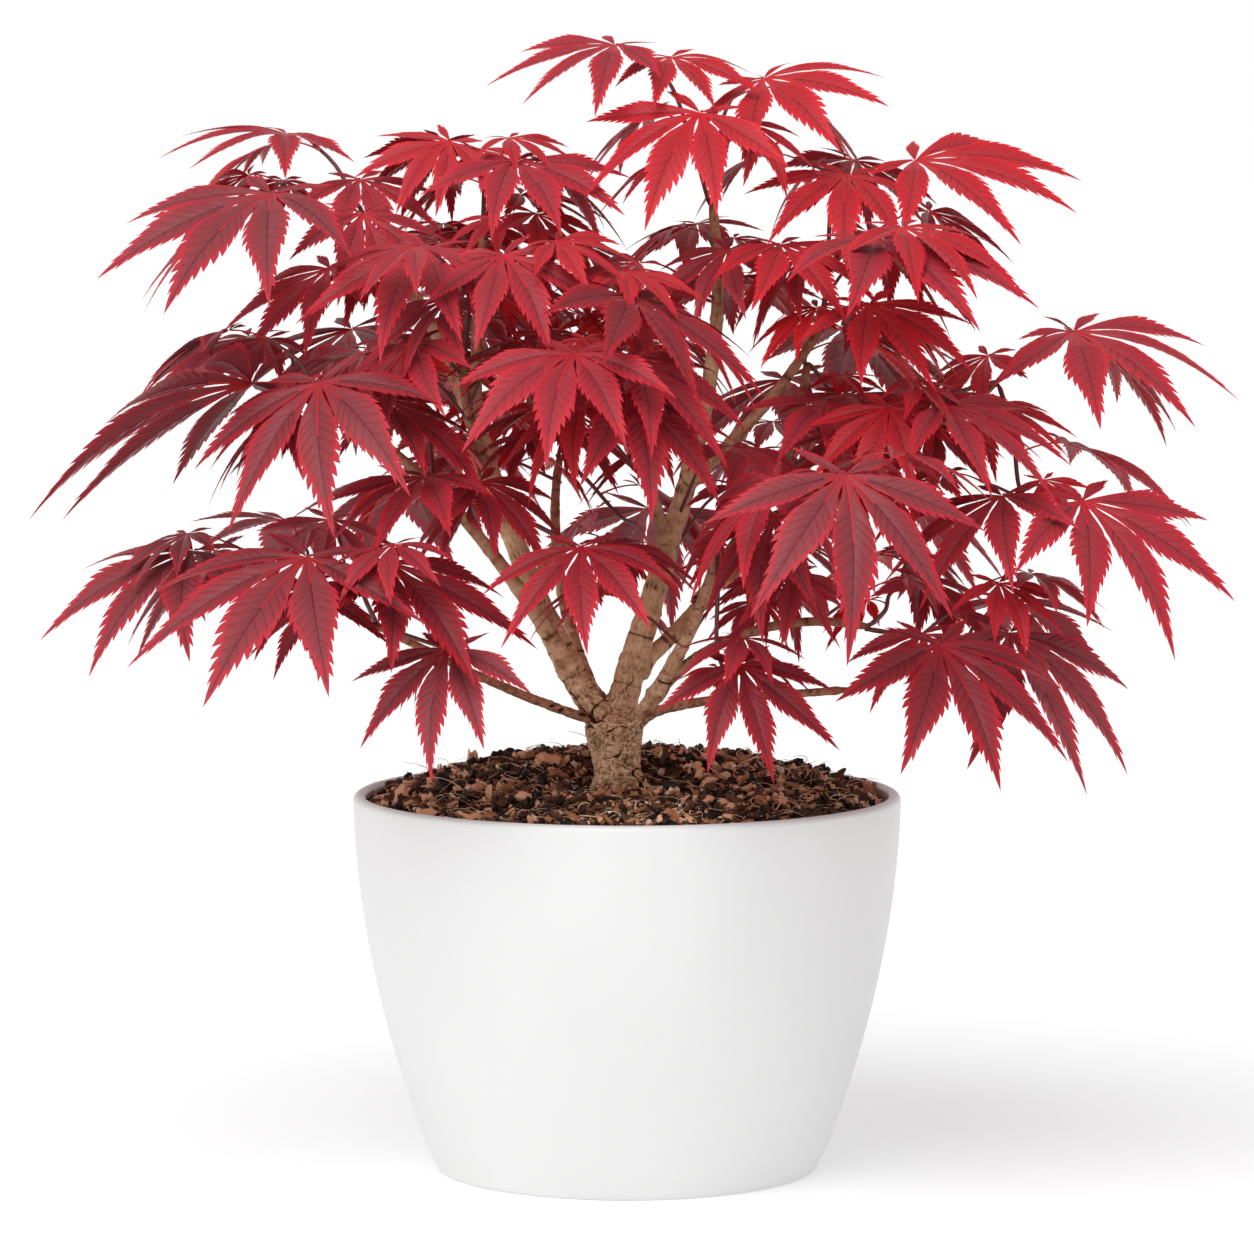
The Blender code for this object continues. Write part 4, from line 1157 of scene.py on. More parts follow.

# %% [markdown]
# ## Leaves
#
# Each leaf is an open hand of seven long lobes with saw teeth, sunken red ribs and
# a bright edge, bright partly by its own red and partly as painted light shining
# through the thin margin.  An image on a flat card would be quick, but its teeth would be
# false and its edge would show from the side.  So the hand is drawn once as a flat
# pattern of faces, from the outline of half a lobe, and each leaf is that pattern
# bent, twisted and laid at its own place.  Ribs, veins, inner blade, outer blade and
# edge are faces of their own, so each takes a plain colour.

# %% The outline of a lobe
# share of the lobe's length, half width against it, teeth left off
LOBE_OUTLINE = ((0.0, 0.0), (0.08, 0.026), (0.16, 0.050), (0.24, 0.072), (0.32, 0.090),
                (0.40, 0.102), (0.48, 0.106), (0.55, 0.100), (0.62, 0.083), (0.69, 0.061),
                (0.76, 0.041), (0.83, 0.028), (0.90, 0.018), (0.95, 0.011), (1.0, 0.0))
LOBE_BROADEST = 0.106
LOBE_END = 0.94                   # the last station before the tip
BASE_STATIONS = (0.04, 0.08, 0.12, 0.17, 0.23, 0.29)
PLAIN_BASE_STATIONS = (0.06, 0.17, 0.29)   # on small leaves
SLIT = {0.12: 0.006, 0.17: 0.009, 0.23: 0.006}   # half the gap between two lobes' feet
OUTER_LOBE_REACH = 0.9            # how far the outermost lobes may spread towards the stalk
OPEN_ANGLE = 1.5                  # radians; nothing narrows a lobe here
TOOTH_START, TOOTH_END = 0.34, 0.88
VEIN_WIDTH = 0.0060


def half_width(t, half_angle):
    """Half a lobe's width at t: the outline, or the line halfway to the next lobe."""
    ts, ws = zip(*LOBE_OUTLINE)
    return min(float(np.interp(t, ts, ws)), t * math.tan(half_angle) - SLIT.get(t, 0.0))


def lobe_room(lobe, side):
    """The angle from a lobe's rib to where its neighbour's room begins."""
    angle, other = LEAF_LOBES[lobe][0], lobe + side
    if 0 <= other < len(LEAF_LOBES):
        return math.radians(abs(LEAF_LOBES[other][0] - angle) / 2)
    return math.radians((180 - abs(angle)) * OUTER_LOBE_REACH)


def lobe_rows(count, veined):
    """Stations along a lobe as (share of its length, kind), and the space between teeth."""
    step = (TOOTH_END - TOOTH_START) / count
    rows = [(t, "base") for t in (BASE_STATIONS if veined else PLAIN_BASE_STATIONS)]
    for k in range(count):
        rows += [(TOOTH_START + k * step, "notch"), (TOOTH_START + (k + 0.5) * step, "vein")]
        if veined:
            rows.append((TOOTH_START + (k + 0.5) * step + VEIN_WIDTH, "vein_end"))
    return rows + [(TOOTH_END, "notch"), (LOBE_END, "end")], step


# %% Ribs, veins, teeth and the swell of the blade
# the margin is bright partly by its own red and partly as painted light shining through it
MARGIN, MARGIN_LEAST = 0.007, 0.7   # width of the bright margin; the least share left inside it
VEIN_LEAN = (0.130, 0.070, 0.014)   # how far a vein runs forward from rib, middle and margin
LEAN_START, LEAN_GROWTH, LEAN_AT_RIB = 0.10, 0.30, 0.97
VEIN_MIDDLE = 0.55                # the middle column's place between rib and margin
RIB_WIDTH, RIB_MOST = (0.0070, 0.0014), 0.3   # at the heart and the tip; its most of the blade
RIB_SUNK = 0.007
FOLD_UP, FOLD_MIDDLE, FOLD_EDGE = 0.20, 1.15, 0.94   # slope from the rib; crown of it; edge of it
QUILT, QUILT_INSIDE, QUILT_FULL = 0.0075, 0.4, 0.1   # the blade swells between its veins
RED_RIB_ENDS, TIP_START = (0.0, 0.14, 0.30, 0.55, 0.30, 0.14, 0.0), 0.80
RIB, INNER, OUTER, EDGE, VEIN, NERVE = range(6)
FEWEST_TEETH = 3
TOOTH_HEIGHT, TOOTH_REACH, TOOTH_SLANT = 0.036, 1.36, 0.14
TOOTH_SIZES = (0.7, 1.2, 0.6, 1.35, 0.85, 1.25, 0.65, 1.1, 0.8)
TOOTH_FIRST, TOOTH_GROWTH = 0.55, 2.5   # teeth near the heart are lower
TOOTH_FADE, TOOTH_FADE_START, TOOTH_FADE_LENGTH = 0.62, 0.55, 0.33   # and so are those near the tip
TOOTH_BACK, TOOTH_FOLD = (0.62, 0.58), (0.88, 0.80)   # a tooth's back: along, out; its slopes


def vein_lean(t, column):
    narrow = half_width(t, OPEN_ANGLE) / LOBE_BROADEST
    narrow *= min(max((t - LEAN_START) / LEAN_GROWTH, 0.0), 1.0)
    return VEIN_LEAN[column] * narrow


class Pattern:
    """A flat leaf: points as (lobe, along, across, lift), shares of its length, and faces."""

    def __init__(self, teeth, veined):
        self.veined = veined
        self.points, self.faces, self.kinds = [(3, 0.0, 0.0, 0.0)], [], []
        for lobe, (_, share) in enumerate(LEAF_LOBES):
            self.draw_lobe(lobe, teeth if share > SMALL_LOBE else max(FEWEST_TEETH, teeth // 2))
        self.points, self.kinds = np.array(self.points), np.array(self.kinds)

    def add(self, lobe, t, across, lift):
        share = LEAF_LOBES[lobe][1]
        self.points.append((lobe, t * share, across * share, lift * share))
        return len(self.points) - 1

    def face(self, kind, side, *corners):
        self.faces.append(corners if side > 0 else tuple(reversed(corners)))
        self.kinds.append(kind)

    def draw_lobe(self, lobe, count):
        rows, step = lobe_rows(count, self.veined)
        ribs = [self.add(lobe, t - vein_lean(t, 0), 0.0, -RIB_SUNK * (1 - t)) for t, _ in rows]
        tip = self.add(lobe, 1.0, 0.0, 0.0)
        for side in (1, -1):
            room = lobe_room(lobe, side)
            columns = [self.draw_column(lobe, side, t, kind, half_width(t, room)) for t, kind in rows]
            self.draw_blade(lobe, side, rows, ribs, columns, tip)
            self.draw_teeth(lobe, side, rows, columns, room, count, step)

    def draw_column(self, lobe, side, t, kind, width):
        """Points from the rib to the edge at one station."""
        rib = min(RIB_WIDTH[0] + (RIB_WIDTH[1] - RIB_WIDTH[0]) * t ** 0.5, width * RIB_MOST)
        swell = (QUILT if kind in ("notch", "base") else -QUILT) * min(1.0, width / QUILT_FULL)
        inside = max(width - MARGIN, rib + (width - rib) * MARGIN_LEAST)
        middle = rib + (inside - rib) * VEIN_MIDDLE
        column = [self.add(lobe, t - vein_lean(t, 0) * LEAN_AT_RIB, side * rib, 0.0)]
        if self.veined:
            column.append(self.add(lobe, t - vein_lean(t, 1), side * middle,
                                   FOLD_UP * middle * FOLD_MIDDLE + swell))
        column.append(self.add(lobe, t - vein_lean(t, 2), side * inside,
                               FOLD_UP * inside + swell * QUILT_INSIDE))
        column.append(self.add(lobe, t, side * width, FOLD_UP * width * FOLD_EDGE))
        return column

    def draw_blade(self, lobe, side, rows, ribs, columns, tip):
        """Faces of half a lobe: a fan at the heart, bands along the blade, a fan at the tip."""
        kinds_across = (RIB, INNER, OUTER, EDGE) if self.veined else (RIB, INNER, EDGE)
        for one, two, kind in zip((ribs[0], *columns[0][:-1]), columns[0], kinds_across):
            self.face(kind, side, 0, one, two)
        for k in range(len(rows) - 1):
            (t, kind), near, far = rows[k], columns[k], columns[k + 1]
            blade = [INNER, OUTER] if t < TIP_START else [OUTER, EDGE]
            if kind == "vein" and self.veined and t < TIP_START:
                blade = [NERVE, NERVE]
            bands = (*(blade if self.veined else blade[:1]), EDGE)
            rib_kind = RIB if t < RED_RIB_ENDS[lobe] else VEIN
            self.face(rib_kind, side, ribs[k], ribs[k + 1], far[0], near[0])
            for i, band in enumerate(bands):
                self.face(band, side, near[i], far[i], far[i + 1], near[i + 1])
        for one, two in zip((ribs[-1], *columns[-1][:-1]), columns[-1]):
            self.face(EDGE, side, one, tip, two)

    def draw_teeth(self, lobe, side, rows, columns, room, count, step):
        """Saw teeth outside the edge, each from its notch over a vein's end to the next notch."""
        stride = 3 if self.veined else 2
        for k in range(count):
            at = len(rows) - 2 - (count - k) * stride
            t = rows[at][0]
            size = TOOTH_SIZES[(k * 2 + lobe + side) % len(TOOTH_SIZES)]
            late = 1 - TOOTH_FADE * max(0.0, (t - TOOTH_FADE_START) / TOOTH_FADE_LENGTH)
            early = min(1.0, TOOTH_FIRST + TOOTH_GROWTH * (t - TOOTH_START))
            high = TOOTH_HEIGHT * size * late * early
            out_t, tip_t = t + TOOTH_BACK[0] * step, t + (TOOTH_REACH + TOOTH_SLANT * size) * step
            out_w = half_width(out_t, room) + TOOTH_BACK[1] * high
            tip_w = half_width(tip_t, room) + high
            out = self.add(lobe, out_t, side * out_w, FOLD_UP * out_w * TOOTH_FOLD[0])
            point = self.add(lobe, tip_t, side * tip_w, FOLD_UP * tip_w * TOOTH_FOLD[1])
            notch, middle, far = columns[at][-1], columns[at + 1][-1], columns[at + stride][-1]
            self.face(EDGE, side, notch, middle, out)
            if self.veined:
                end = columns[at + 2][-1]
                self.face(EDGE, side, middle, end, out)
                middle = end
            self.face(EDGE, side, middle, far, point, out)


# %% Two leaf patterns
BIG_PATTERN, SMALL_PATTERN = Pattern(9, True), Pattern(5, False)
print("leaf patterns of", len(BIG_PATTERN.faces), "and", len(SMALL_PATTERN.faces), "faces")

# %% Leaf colours
# rib, inner blade, outer blade, edge, middle vein; the edge, used at the lobe tips too, is partly its own
# red and partly painted light through the thin margin
TINTS = {
    "dusk": ((0.64, 0.020, 0.030), (0.245, 0.043, 0.052), (0.300, 0.036, 0.046),
             (0.46, 0.024, 0.040), (0.115, 0.014, 0.021)),
    "wine": ((0.60, 0.013, 0.022), (0.230, 0.024, 0.033), (0.285, 0.019, 0.029),
             (0.41, 0.015, 0.026), (0.108, 0.008, 0.013)),
    "crimson": ((0.72, 0.018, 0.030), (0.335, 0.031, 0.043), (0.405, 0.025, 0.038),
                (0.52, 0.021, 0.037), (0.165, 0.012, 0.019)),
    "ruby": ((0.72, 0.015, 0.024), (0.435, 0.024, 0.033), (0.500, 0.018, 0.029),
             (0.60, 0.016, 0.027), (0.220, 0.008, 0.013)),
    # painted light: the bright scarlet of hidden leaves, as if light shone through them
    "scarlet": ((0.72, 0.014, 0.020), (0.520, 0.010, 0.014), (0.590, 0.009, 0.014),
                (0.66, 0.010, 0.016), (0.300, 0.005, 0.008)),
}
PARTS = ("rib", "inner", "outer", "edge", "vein", "nerve")
NERVE_SHARE = 0.45                # a side vein's colour, from the blade's to the middle vein's
LEAF_ROUGHNESS, LEAF_SPECULAR = 0.44, 0.18
LEAF_GRAIN, LEAF_GRAIN_DEPTH = 1100, 0.00015


def with_nerve(colours):
    """A tint's colours, and between its inner blade's and its vein's, the side veins'."""
    inner, vein = colours[INNER], colours[VEIN]
    return (*colours, tuple(a + (b - a) * NERVE_SHARE for a, b in zip(inner, vein)))


def leaf_finish(tint, part, colour):
    """A soft satin blade with a grain as fine as the net of its smallest veins."""
    material = principled(tint + "_" + part, colour, LEAF_ROUGHNESS, LEAF_SPECULAR)
    grain = object_noise(material, LEAF_GRAIN, 3).outputs["Fac"]
    add_bump(material, grain, LEAF_GRAIN_DEPTH, 0.6)
    return material


# %% Dealing out the tints
CROWN_FOOT, CROWN_HEIGHT, CROWN_RADIUS = 0.22, 0.26, 0.17   # the crown, roughly, in m
OLD_LENGTH = 0.08                 # a leaf this long is one year's age on the scale below
# the inside term is painted shade: leaves inside the crown are dealt darker tints
AGE_OUT, AGE_HIGH, AGE_RIGHT, INSIDE_SHADE = 0.40, 0.75, 1.1, 0.35
AGE_LUCK, AGE_FOLLOWER = 0.25, 0.12
DUSK_AGE, WINE_AGE, CRIMSON_AGE = 1.12, 0.92, 0.42
# hidden leaves that are dealt scarlet get it as painted light shining through them
HIDDEN_OUT, HIDDEN_HIGH, BACKLIT_SHARE = 0.75, 0.60, 0.6
HIDDEN_BEHIND = -0.055            # leaves nearer the front than this aren't hidden


def leaf_tint(spray, index, place, length):
    """Old leaves low or left are dusky, and leaves inside are darker as painted shade; high ones are
    ruby; some hidden ones are a bright scarlet, painted light shining through them.
    """
    high = (place.z - CROWN_FOOT) / CROWN_HEIGHT
    out = math.hypot(place.x, place.y) / CROWN_RADIUS
    age = length / OLD_LENGTH + AGE_OUT * out - AGE_HIGH * high - AGE_RIGHT * place.x
    # painted shade: leaves inside the crown are counted older, so they are dealt darker tints
    age += INSIDE_SHADE * max(0.0, 1 - out)
    age += spray.tint_random.uniform(-AGE_LUCK, AGE_LUCK)
    if index:
        age -= AGE_FOLLOWER
    # painted light: some hidden leaves are dealt a bright scarlet, as if lit from behind
    hidden = index and out < HIDDEN_OUT and high < HIDDEN_HIGH and place.y > HIDDEN_BEHIND
    if hidden and spray.tint_random.random() < BACKLIT_SHARE:
        return "scarlet"
    if age > DUSK_AGE:
        return "dusk"
    if age > WINE_AGE:
        return "wine"
    return "crimson" if age > CRIMSON_AGE else "ruby"


# %% Laying the pattern at each leaf's place
LOBE_BEND, LOBE_TWIST, LOBE_DROP, LOBE_STRETCH = 0.16, 0.30, 0.16, 0.05
BEND_START, TWIST_GROWTH = 0.18, 3   # a lobe is straight up to here, then twists this fast
LEAF_ARCH = 0.12                  # the blade rises from its heart before it falls
SMALL_LEAF = 46 * MM
PIECE_TRIANGLES = 165000


def lay_leaves(pattern, leaves, chance):
    """World points of the pattern at every leaf, as one array."""
    lobe, along, across, lift = pattern.points.T
    lobe = lobe.astype(int)
    angle = np.radians([a for a, _ in LEAF_LOBES])[lobe]
    share = np.array([s for _, s in LEAF_LOBES])[lobe]
    t = along / share
    laid = []
    for place, length, heading, droop, roll in leaves:
        bend, twist, drop, stretch = (
            np.array([chance.uniform(low, high) for _ in LEAF_LOBES])[lobe]
            for low, high in ((-LOBE_BEND, LOBE_BEND), (-LOBE_TWIST, LOBE_TWIST),
                              (0, LOBE_DROP), (-LOBE_STRETCH, LOBE_STRETCH)))
        past = np.clip(t - BEND_START, 0, None)
        reach = along + share * stretch * past
        aside = across + share * bend * past ** 2
        height = lift + twist * across * np.clip(past * TWIST_GROWTH, 0, 1) - share * drop * past ** 2
        x = reach * np.cos(angle) - aside * np.sin(angle)
        y = reach * np.sin(angle) + aside * np.cos(angle)
        far = x * x + y * y
        z = height + LEAF_ARCH * np.sqrt(far) - (LEAF_CURL + LEAF_ARCH) * far
        ahead, side, up = (np.array(v) for v in leaf_axes(heading, droop, roll))
        local = (np.outer(x, ahead) + np.outer(y, side) + np.outer(z, up)) * length
        laid.append(local + np.array(place))
    return np.concatenate(laid)


def dealt_pieces(dealt):
    """The leaves of each tint, cut into pieces of no more triangles than one piece may have."""
    costs = [sum(len(corners) - 2 for corners in pattern.faces)
             for pattern in (BIG_PATTERN, SMALL_PATTERN)]
    for tint, members in dealt.items():
        whole = sum(costs[leaf[1] < SMALL_LEAF] for _, leaf in members)
        parts = math.ceil(whole / PIECE_TRIANGLES)
        for k in range(parts):
            name = tint + "_leaves" + ("_%d" % (k + 1) if parts > 1 else "")
            yield name, tint, members[k * len(members) // parts:(k + 1) * len(members) // parts]


def make_leaves(all_sprays):
    dealt = {tint: [] for tint in TINTS}
    for spray in all_sprays:
        for index, leaf in enumerate(spray.leaves):
            dealt[leaf_tint(spray, index, leaf[0], leaf[1])].append((spray, leaf))
    finishes = {tint: [leaf_finish(tint, part, colour)
                       for part, colour in zip(PARTS, with_nerve(colours))]
                for tint, colours in TINTS.items()}
    for name, tint, members in dealt_pieces(dealt):
        chance = random.Random(name)
        points, faces, kinds = [], [], []
        for pattern, small in ((BIG_PATTERN, False), (SMALL_PATTERN, True)):
            chosen = [leaf for _, leaf in members if (leaf[1] < SMALL_LEAF) == small]
            if not chosen:
                continue
            start = sum(len(block) for block in points)
            points.append(lay_leaves(pattern, chosen, chance))
            for k in range(len(chosen)):
                offset = start + k * len(pattern.points)
                faces += [tuple(offset + i for i in corners) for corners in pattern.faces]
                kinds.append(pattern.kinds)
        materials = finishes[tint]
        piece = mesh_piece(name, np.concatenate(points).tolist(), faces, materials,
                           np.concatenate(kinds))
        only(piece)
        bpy.ops.object.shade_smooth()
        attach(piece, "root")
        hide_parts(*sorted({spray.name for spray, _ in members} & set(SPRAYS)))
        print(piece.name, len(members), "leaves", triangles(piece), "triangles")


for spray in sprays + shoots:
    spray.tint_random = random.Random(spray.name)
make_leaves(sprays + shoots)

# %% [markdown]
# ## Potting soil
#
# The pot is filled with coir and bark: dark crumbs, curled chips of rusty brown,
# hair-thin fibres, and a few white grains of perlite.  A bumpy surface alone looks
# like mud.  So a bed is made first, pulled in ring by ring and then roughened, and
# thousands of small pieces are strewn over it, each kind joined into one mesh.

# %% Soil sizes
SOIL_BELOW_RIM = 4.5 * MM
SOIL_MOUND, SOIL_MOUND_FALL = 20.0 * MM, 2.6
SOIL_FRONT, SOIL_FRONT_REACH = 0.28, 30.0 * MM
SOIL_LUMP, SOIL_LUMP_SIZE, SOIL_LUMP_FALL = 2.2 * MM, 7.0 * MM, 6
SOIL_CLEAR = 0.96 * MM
SEAT_RADIUS, SEAT_BLEND = 17.0 * MM, 1.1
SOIL_EDGE = POT_RIM_RADIUS - POT_WALL - SOIL_CLEAR
BED_SIDES, BED_RINGS = 150, 56
BED_DEPTH, BED_FOOT, BED_SMOOTH = 14 * MM, 0.985, 60   # its foot against its top; degrees
CRUMBLE, CRUMBLE_SIZE = 1.3 * MM, 2.6 * MM
CRUMBLE_CELLS = 1.6               # size of the pits against the crumbs
CRUMBLE_MIX = (0.7, 1.1, 0.1)     # crumbs, pits, and a rise that makes up for the pits
EARTH_TONES = ((0.35, (0.012, 0.005, 0.003)), (0.55, (0.045, 0.020, 0.011)),
               (0.72, (0.13, 0.060, 0.032)))
EARTH_SPECKLE, EARTH_GRAIN, EARTH_DEPTH = 380, 700, 0.0006


def soil_height(x, y):
    """Top of the soil: level at the trunk's seat, mounded behind, lumpy, low at the wall."""
    edge = POT_HEIGHT - SOIL_BELOW_RIM
    out = min(math.hypot(x, y) / (POT_RIM_RADIUS - POT_WALL), 1.0)
    behind = 1 - SOIL_FRONT + SOIL_FRONT * math.tanh(y / SOIL_FRONT_REACH)
    mound = edge + SOIL_MOUND * behind * (1 - out ** SOIL_MOUND_FALL)
    bump = noise.noise(Vector((x, y, 0.0)) / SOIL_LUMP_SIZE)
    lumps = SOIL_LUMP * bump * (1 - out ** SOIL_LUMP_FALL)
    near = math.hypot(x - TRUNK_X, y - TRUNK_Y) / SEAT_RADIUS
    away = min(max((near - 1.0) / SEAT_BLEND, 0.0), 1.0)
    away = away * away * (3 - 2 * away)
    return (TRUNK_FOOT_Z - GAP) * (1 - away) + (mound + lumps) * away


def crumbled(x, y):
    """The bed's own height: crumbs and pits on the lie of the soil."""
    fine = noise.noise(Vector((x, y, 0.3)) / CRUMBLE_SIZE)
    cells = noise.voronoi(Vector((x, y, 0.0)) / (CRUMBLE_SIZE * CRUMBLE_CELLS))[0][0]
    crumbs, pits, rise = CRUMBLE_MIX
    return soil_height(x, y) + CRUMBLE * (crumbs * fine - pits * cells + rise)


def earth_finish():
    material = principled("dark_earth", (0.030, 0.015, 0.009), 0.95, 0.25)
    speckle = object_noise(material, EARTH_SPECKLE, 6)
    colour = ramp(material, speckle.outputs["Fac"], EARTH_TONES)
    shader = material.node_tree.nodes["Principled BSDF"]
    material.node_tree.links.new(colour, shader.inputs["Base Color"])
    add_bump(material, object_noise(material, EARTH_GRAIN, 6).outputs["Fac"], EARTH_DEPTH)
    return material


def make_bed():
    deselect()
    bpy.ops.mesh.primitive_circle_add(vertices=BED_SIDES, radius=SOIL_EDGE * BED_FOOT,
                                      fill_type="NGON",
                                      location=(0, 0, POT_HEIGHT - SOIL_BELOW_RIM - BED_DEPTH))
    bed = bpy.context.object
    bed.name = "soil_bed"
    bpy.ops.object.mode_set(mode="EDIT")
    bpy.ops.mesh.extrude_region_move(TRANSFORM_OT_translate={"value": (0, 0, BED_DEPTH)})
    bpy.ops.transform.resize(value=(1 / BED_FOOT, 1 / BED_FOOT, 1))
    for ring in range(BED_RINGS, 1, -1):
        bpy.ops.mesh.extrude_region_move()
        shrink = (ring - 1) / ring
        bpy.ops.transform.resize(value=(shrink, shrink, 1))
    bpy.ops.mesh.merge(type="CENTER")
    bpy.ops.mesh.select_all(action="SELECT")
    bpy.ops.mesh.normals_make_consistent(inside=False)
    bpy.ops.object.mode_set(mode="OBJECT")
    bpy.ops.object.transform_apply(location=True, rotation=True, scale=True)
    low = POT_HEIGHT - SOIL_BELOW_RIM - BED_DEPTH / 2
    for vertex in bed.data.vertices:
        if vertex.co.z > low:
            vertex.co.z = crumbled(vertex.co.x, vertex.co.y)
    bpy.ops.object.shade_smooth_by_angle(angle=math.radians(BED_SMOOTH))
    bed.data.materials.append(earth_finish())
    print("soil bed", triangles(bed), "triangles")
    return bed


soil_bed = make_bed()

# %% What is strewn, and how
SOIL_COLOURS = {
    "humus": (0.014, 0.006, 0.003), "coir": (0.100, 0.038, 0.016), "bark_chip": (0.38, 0.165, 0.078),
    "rusty_chip": (0.84, 0.46, 0.265), "dry_fibre": (0.97, 0.72, 0.50),
    "grit": (0.80, 0.56, 0.45), "perlite": (0.95, 0.93, 0.90),
}
SOIL_ROUGHNESS, SOIL_SPECULAR = 0.60, 0.35
SOIL_GRAIN, SOIL_GRAIN_DEPTH = 1300, 0.0003
SOIL_SMOOTH = 75                  # degrees; only sharper edges stay edges
SOIL_KEEP_OFF = 10.5 * MM         # no crumb's middle lies closer to the trunk's middle


def soil_finish(name):
    material = principled(name, SOIL_COLOURS[name], SOIL_ROUGHNESS, SOIL_SPECULAR)
    add_bump(material, object_noise(material, SOIL_GRAIN, 4).outputs["Fac"], SOIL_GRAIN_DEPTH, 0.9)
    return material


def strewn(chance, size):
    """A random place on the soil, clear of the pot's wall and of the trunk."""
    while True:
        out = (SOIL_EDGE - size) * math.sqrt(chance.random())
        turn = chance.uniform(0, 2 * math.pi)
        x, y = out * math.cos(turn), out * math.sin(turn)
        if math.hypot(x - TRUNK_X, y - TRUNK_Y) > SOIL_KEEP_OFF + size * 0.5:
            return np.array((x, y, crumbled(x, y)))


def turn_about(axis, angle):
    """A rotation about X, Y or Z (0, 1 or 2) as a matrix."""
    one, two = (axis + 1) % 3, (axis + 2) % 3
    matrix = np.eye(3)
    matrix[one, one] = matrix[two, two] = math.cos(angle)
    matrix[one, two], matrix[two, one] = -math.sin(angle), math.sin(angle)
    return matrix


def turned_about(chance, lean):
    """A rotation: any way round, tipped by up to lean degrees."""
    spin, tip, roll = (chance.uniform(0, 2 * math.pi), math.radians(chance.uniform(-lean, lean)),
                       math.radians(chance.uniform(-lean, lean)))
    return turn_about(2, spin) @ turn_about(0, tip) @ turn_about(1, roll)


def ragged(chance, shape, amount):
    """The shape with each point moved in or out by a random share."""
    return shape * (1 + amount * np.array([[chance.uniform(-1, 1)] for _ in shape]))


def ball_shape(level):
    """A few-faced ball, modelled once and read as arrays."""
    deselect()
    bpy.ops.mesh.primitive_ico_sphere_add(subdivisions=level, radius=1.0)
    ball = bpy.context.object
    points = np.array([vertex.co for vertex in ball.data.vertices])
    faces = [tuple(face.vertices) for face in ball.data.polygons]
    bpy.data.objects.remove(ball)
    return points, faces


def plate_shape(columns, rows):
    """A thin chip: two skins joined along their edge."""
    points, faces = [], []
    for skin in (1, -1):
        for j in range(rows + 1):
            for i in range(columns + 1):
                points.append((2 * i / columns - 1, 2 * j / rows - 1, skin * 0.5))
    wide = columns + 1
    under = wide * (rows + 1)
    for j in range(rows):
        for i in range(columns):
            a = j * wide + i
            faces.append((a, a + 1, a + wide + 1, a + wide))
            faces.append((under + a, under + a + wide, under + a + wide + 1, under + a + 1))
    edge = ([i for i in range(columns)] + [j * wide + columns for j in range(rows)]
            + [rows * wide + i for i in range(columns, 0, -1)] + [j * wide for j in range(rows, 0, -1)])
    for a, b in zip(edge, edge[1:] + edge[:1]):
        faces.append((b, a, under + a, under + b))
    return np.array(points), faces


def join_many(name, blocks, finishes):
    """One piece from (points, faces, finish index) blocks."""
    points, faces, kinds = [], [], []
    start = 0
    for block_points, block_faces, kind in blocks:
        points.append(block_points)
        faces += [tuple(start + i for i in corners) for corners in block_faces]
        kinds += [kind] * len(block_faces)
        start += len(block_points)
    piece = mesh_piece(name, np.concatenate(points).tolist(), faces,
                       [soil_finish(finish) for finish in finishes], kinds)
    only(piece)
    bpy.ops.object.shade_smooth_by_angle(angle=math.radians(SOIL_SMOOTH))
    print(name, len(blocks), "pieces", triangles(piece), "triangles")
    return piece


# %% Crumbs and chips
CRUMBS, CRUMB_SEED = 4200, 11
CRUMB_SIZE, CRUMB_ROUND = (0.50 * MM, 2.2 * MM), 1.4 * MM   # least, what the largest has more
CRUMB_RAGGED, CRUMB_BURIED = 0.55, (-0.2, 0.9)
CRUMB_KINDS = (0, 0, 0, 0, 0, 1, 1, 1, 2, 2, 3, 3)
CHIPS, CHIP_SEED, CHIP_LEAN, CHIP_RISE = 1300, 12, 65, 0.7 * MM
CHIP_LENGTH, CHIP_WIDTH, CHIP_THICK = (0.8 * MM, 2.4 * MM), (0.25, 0.55), (0.25, 0.50)
CHIP_RAGGED, CHIP_CURL, CHIP_BOW = 0.22, (0.15, 1.1), 0.5
CHIP_KINDS = (0, 0, 0, 1, 1, 1, 2, 2, 3)


def make_crumbs():
    """Ragged balls of humus and coir, most of them small."""
    chance = random.Random(CRUMB_SEED)
    shapes = {level: ball_shape(level) for level in (1, 2)}
    blocks = []
    for _ in range(CRUMBS):
        size = CRUMB_SIZE[0] + CRUMB_SIZE[1] * chance.random() ** 3
        shape, faces = shapes[1 if size < CRUMB_ROUND else 2]
        crumb = ragged(chance, shape, CRUMB_RAGGED)
        stretch = np.array([chance.uniform(0.5, 1.0), chance.uniform(0.5, 1.0), chance.uniform(0.9, 1.9)])
        place = strewn(chance, size) + (0, 0, size * chance.uniform(*CRUMB_BURIED))
        blocks.append(((crumb * stretch * size) @ turned_about(chance, 90).T + place, faces,
                       chance.choice(CRUMB_KINDS)))
    return join_many("soil_crumbs", blocks, ("humus", "coir", "bark_chip", "rusty_chip"))


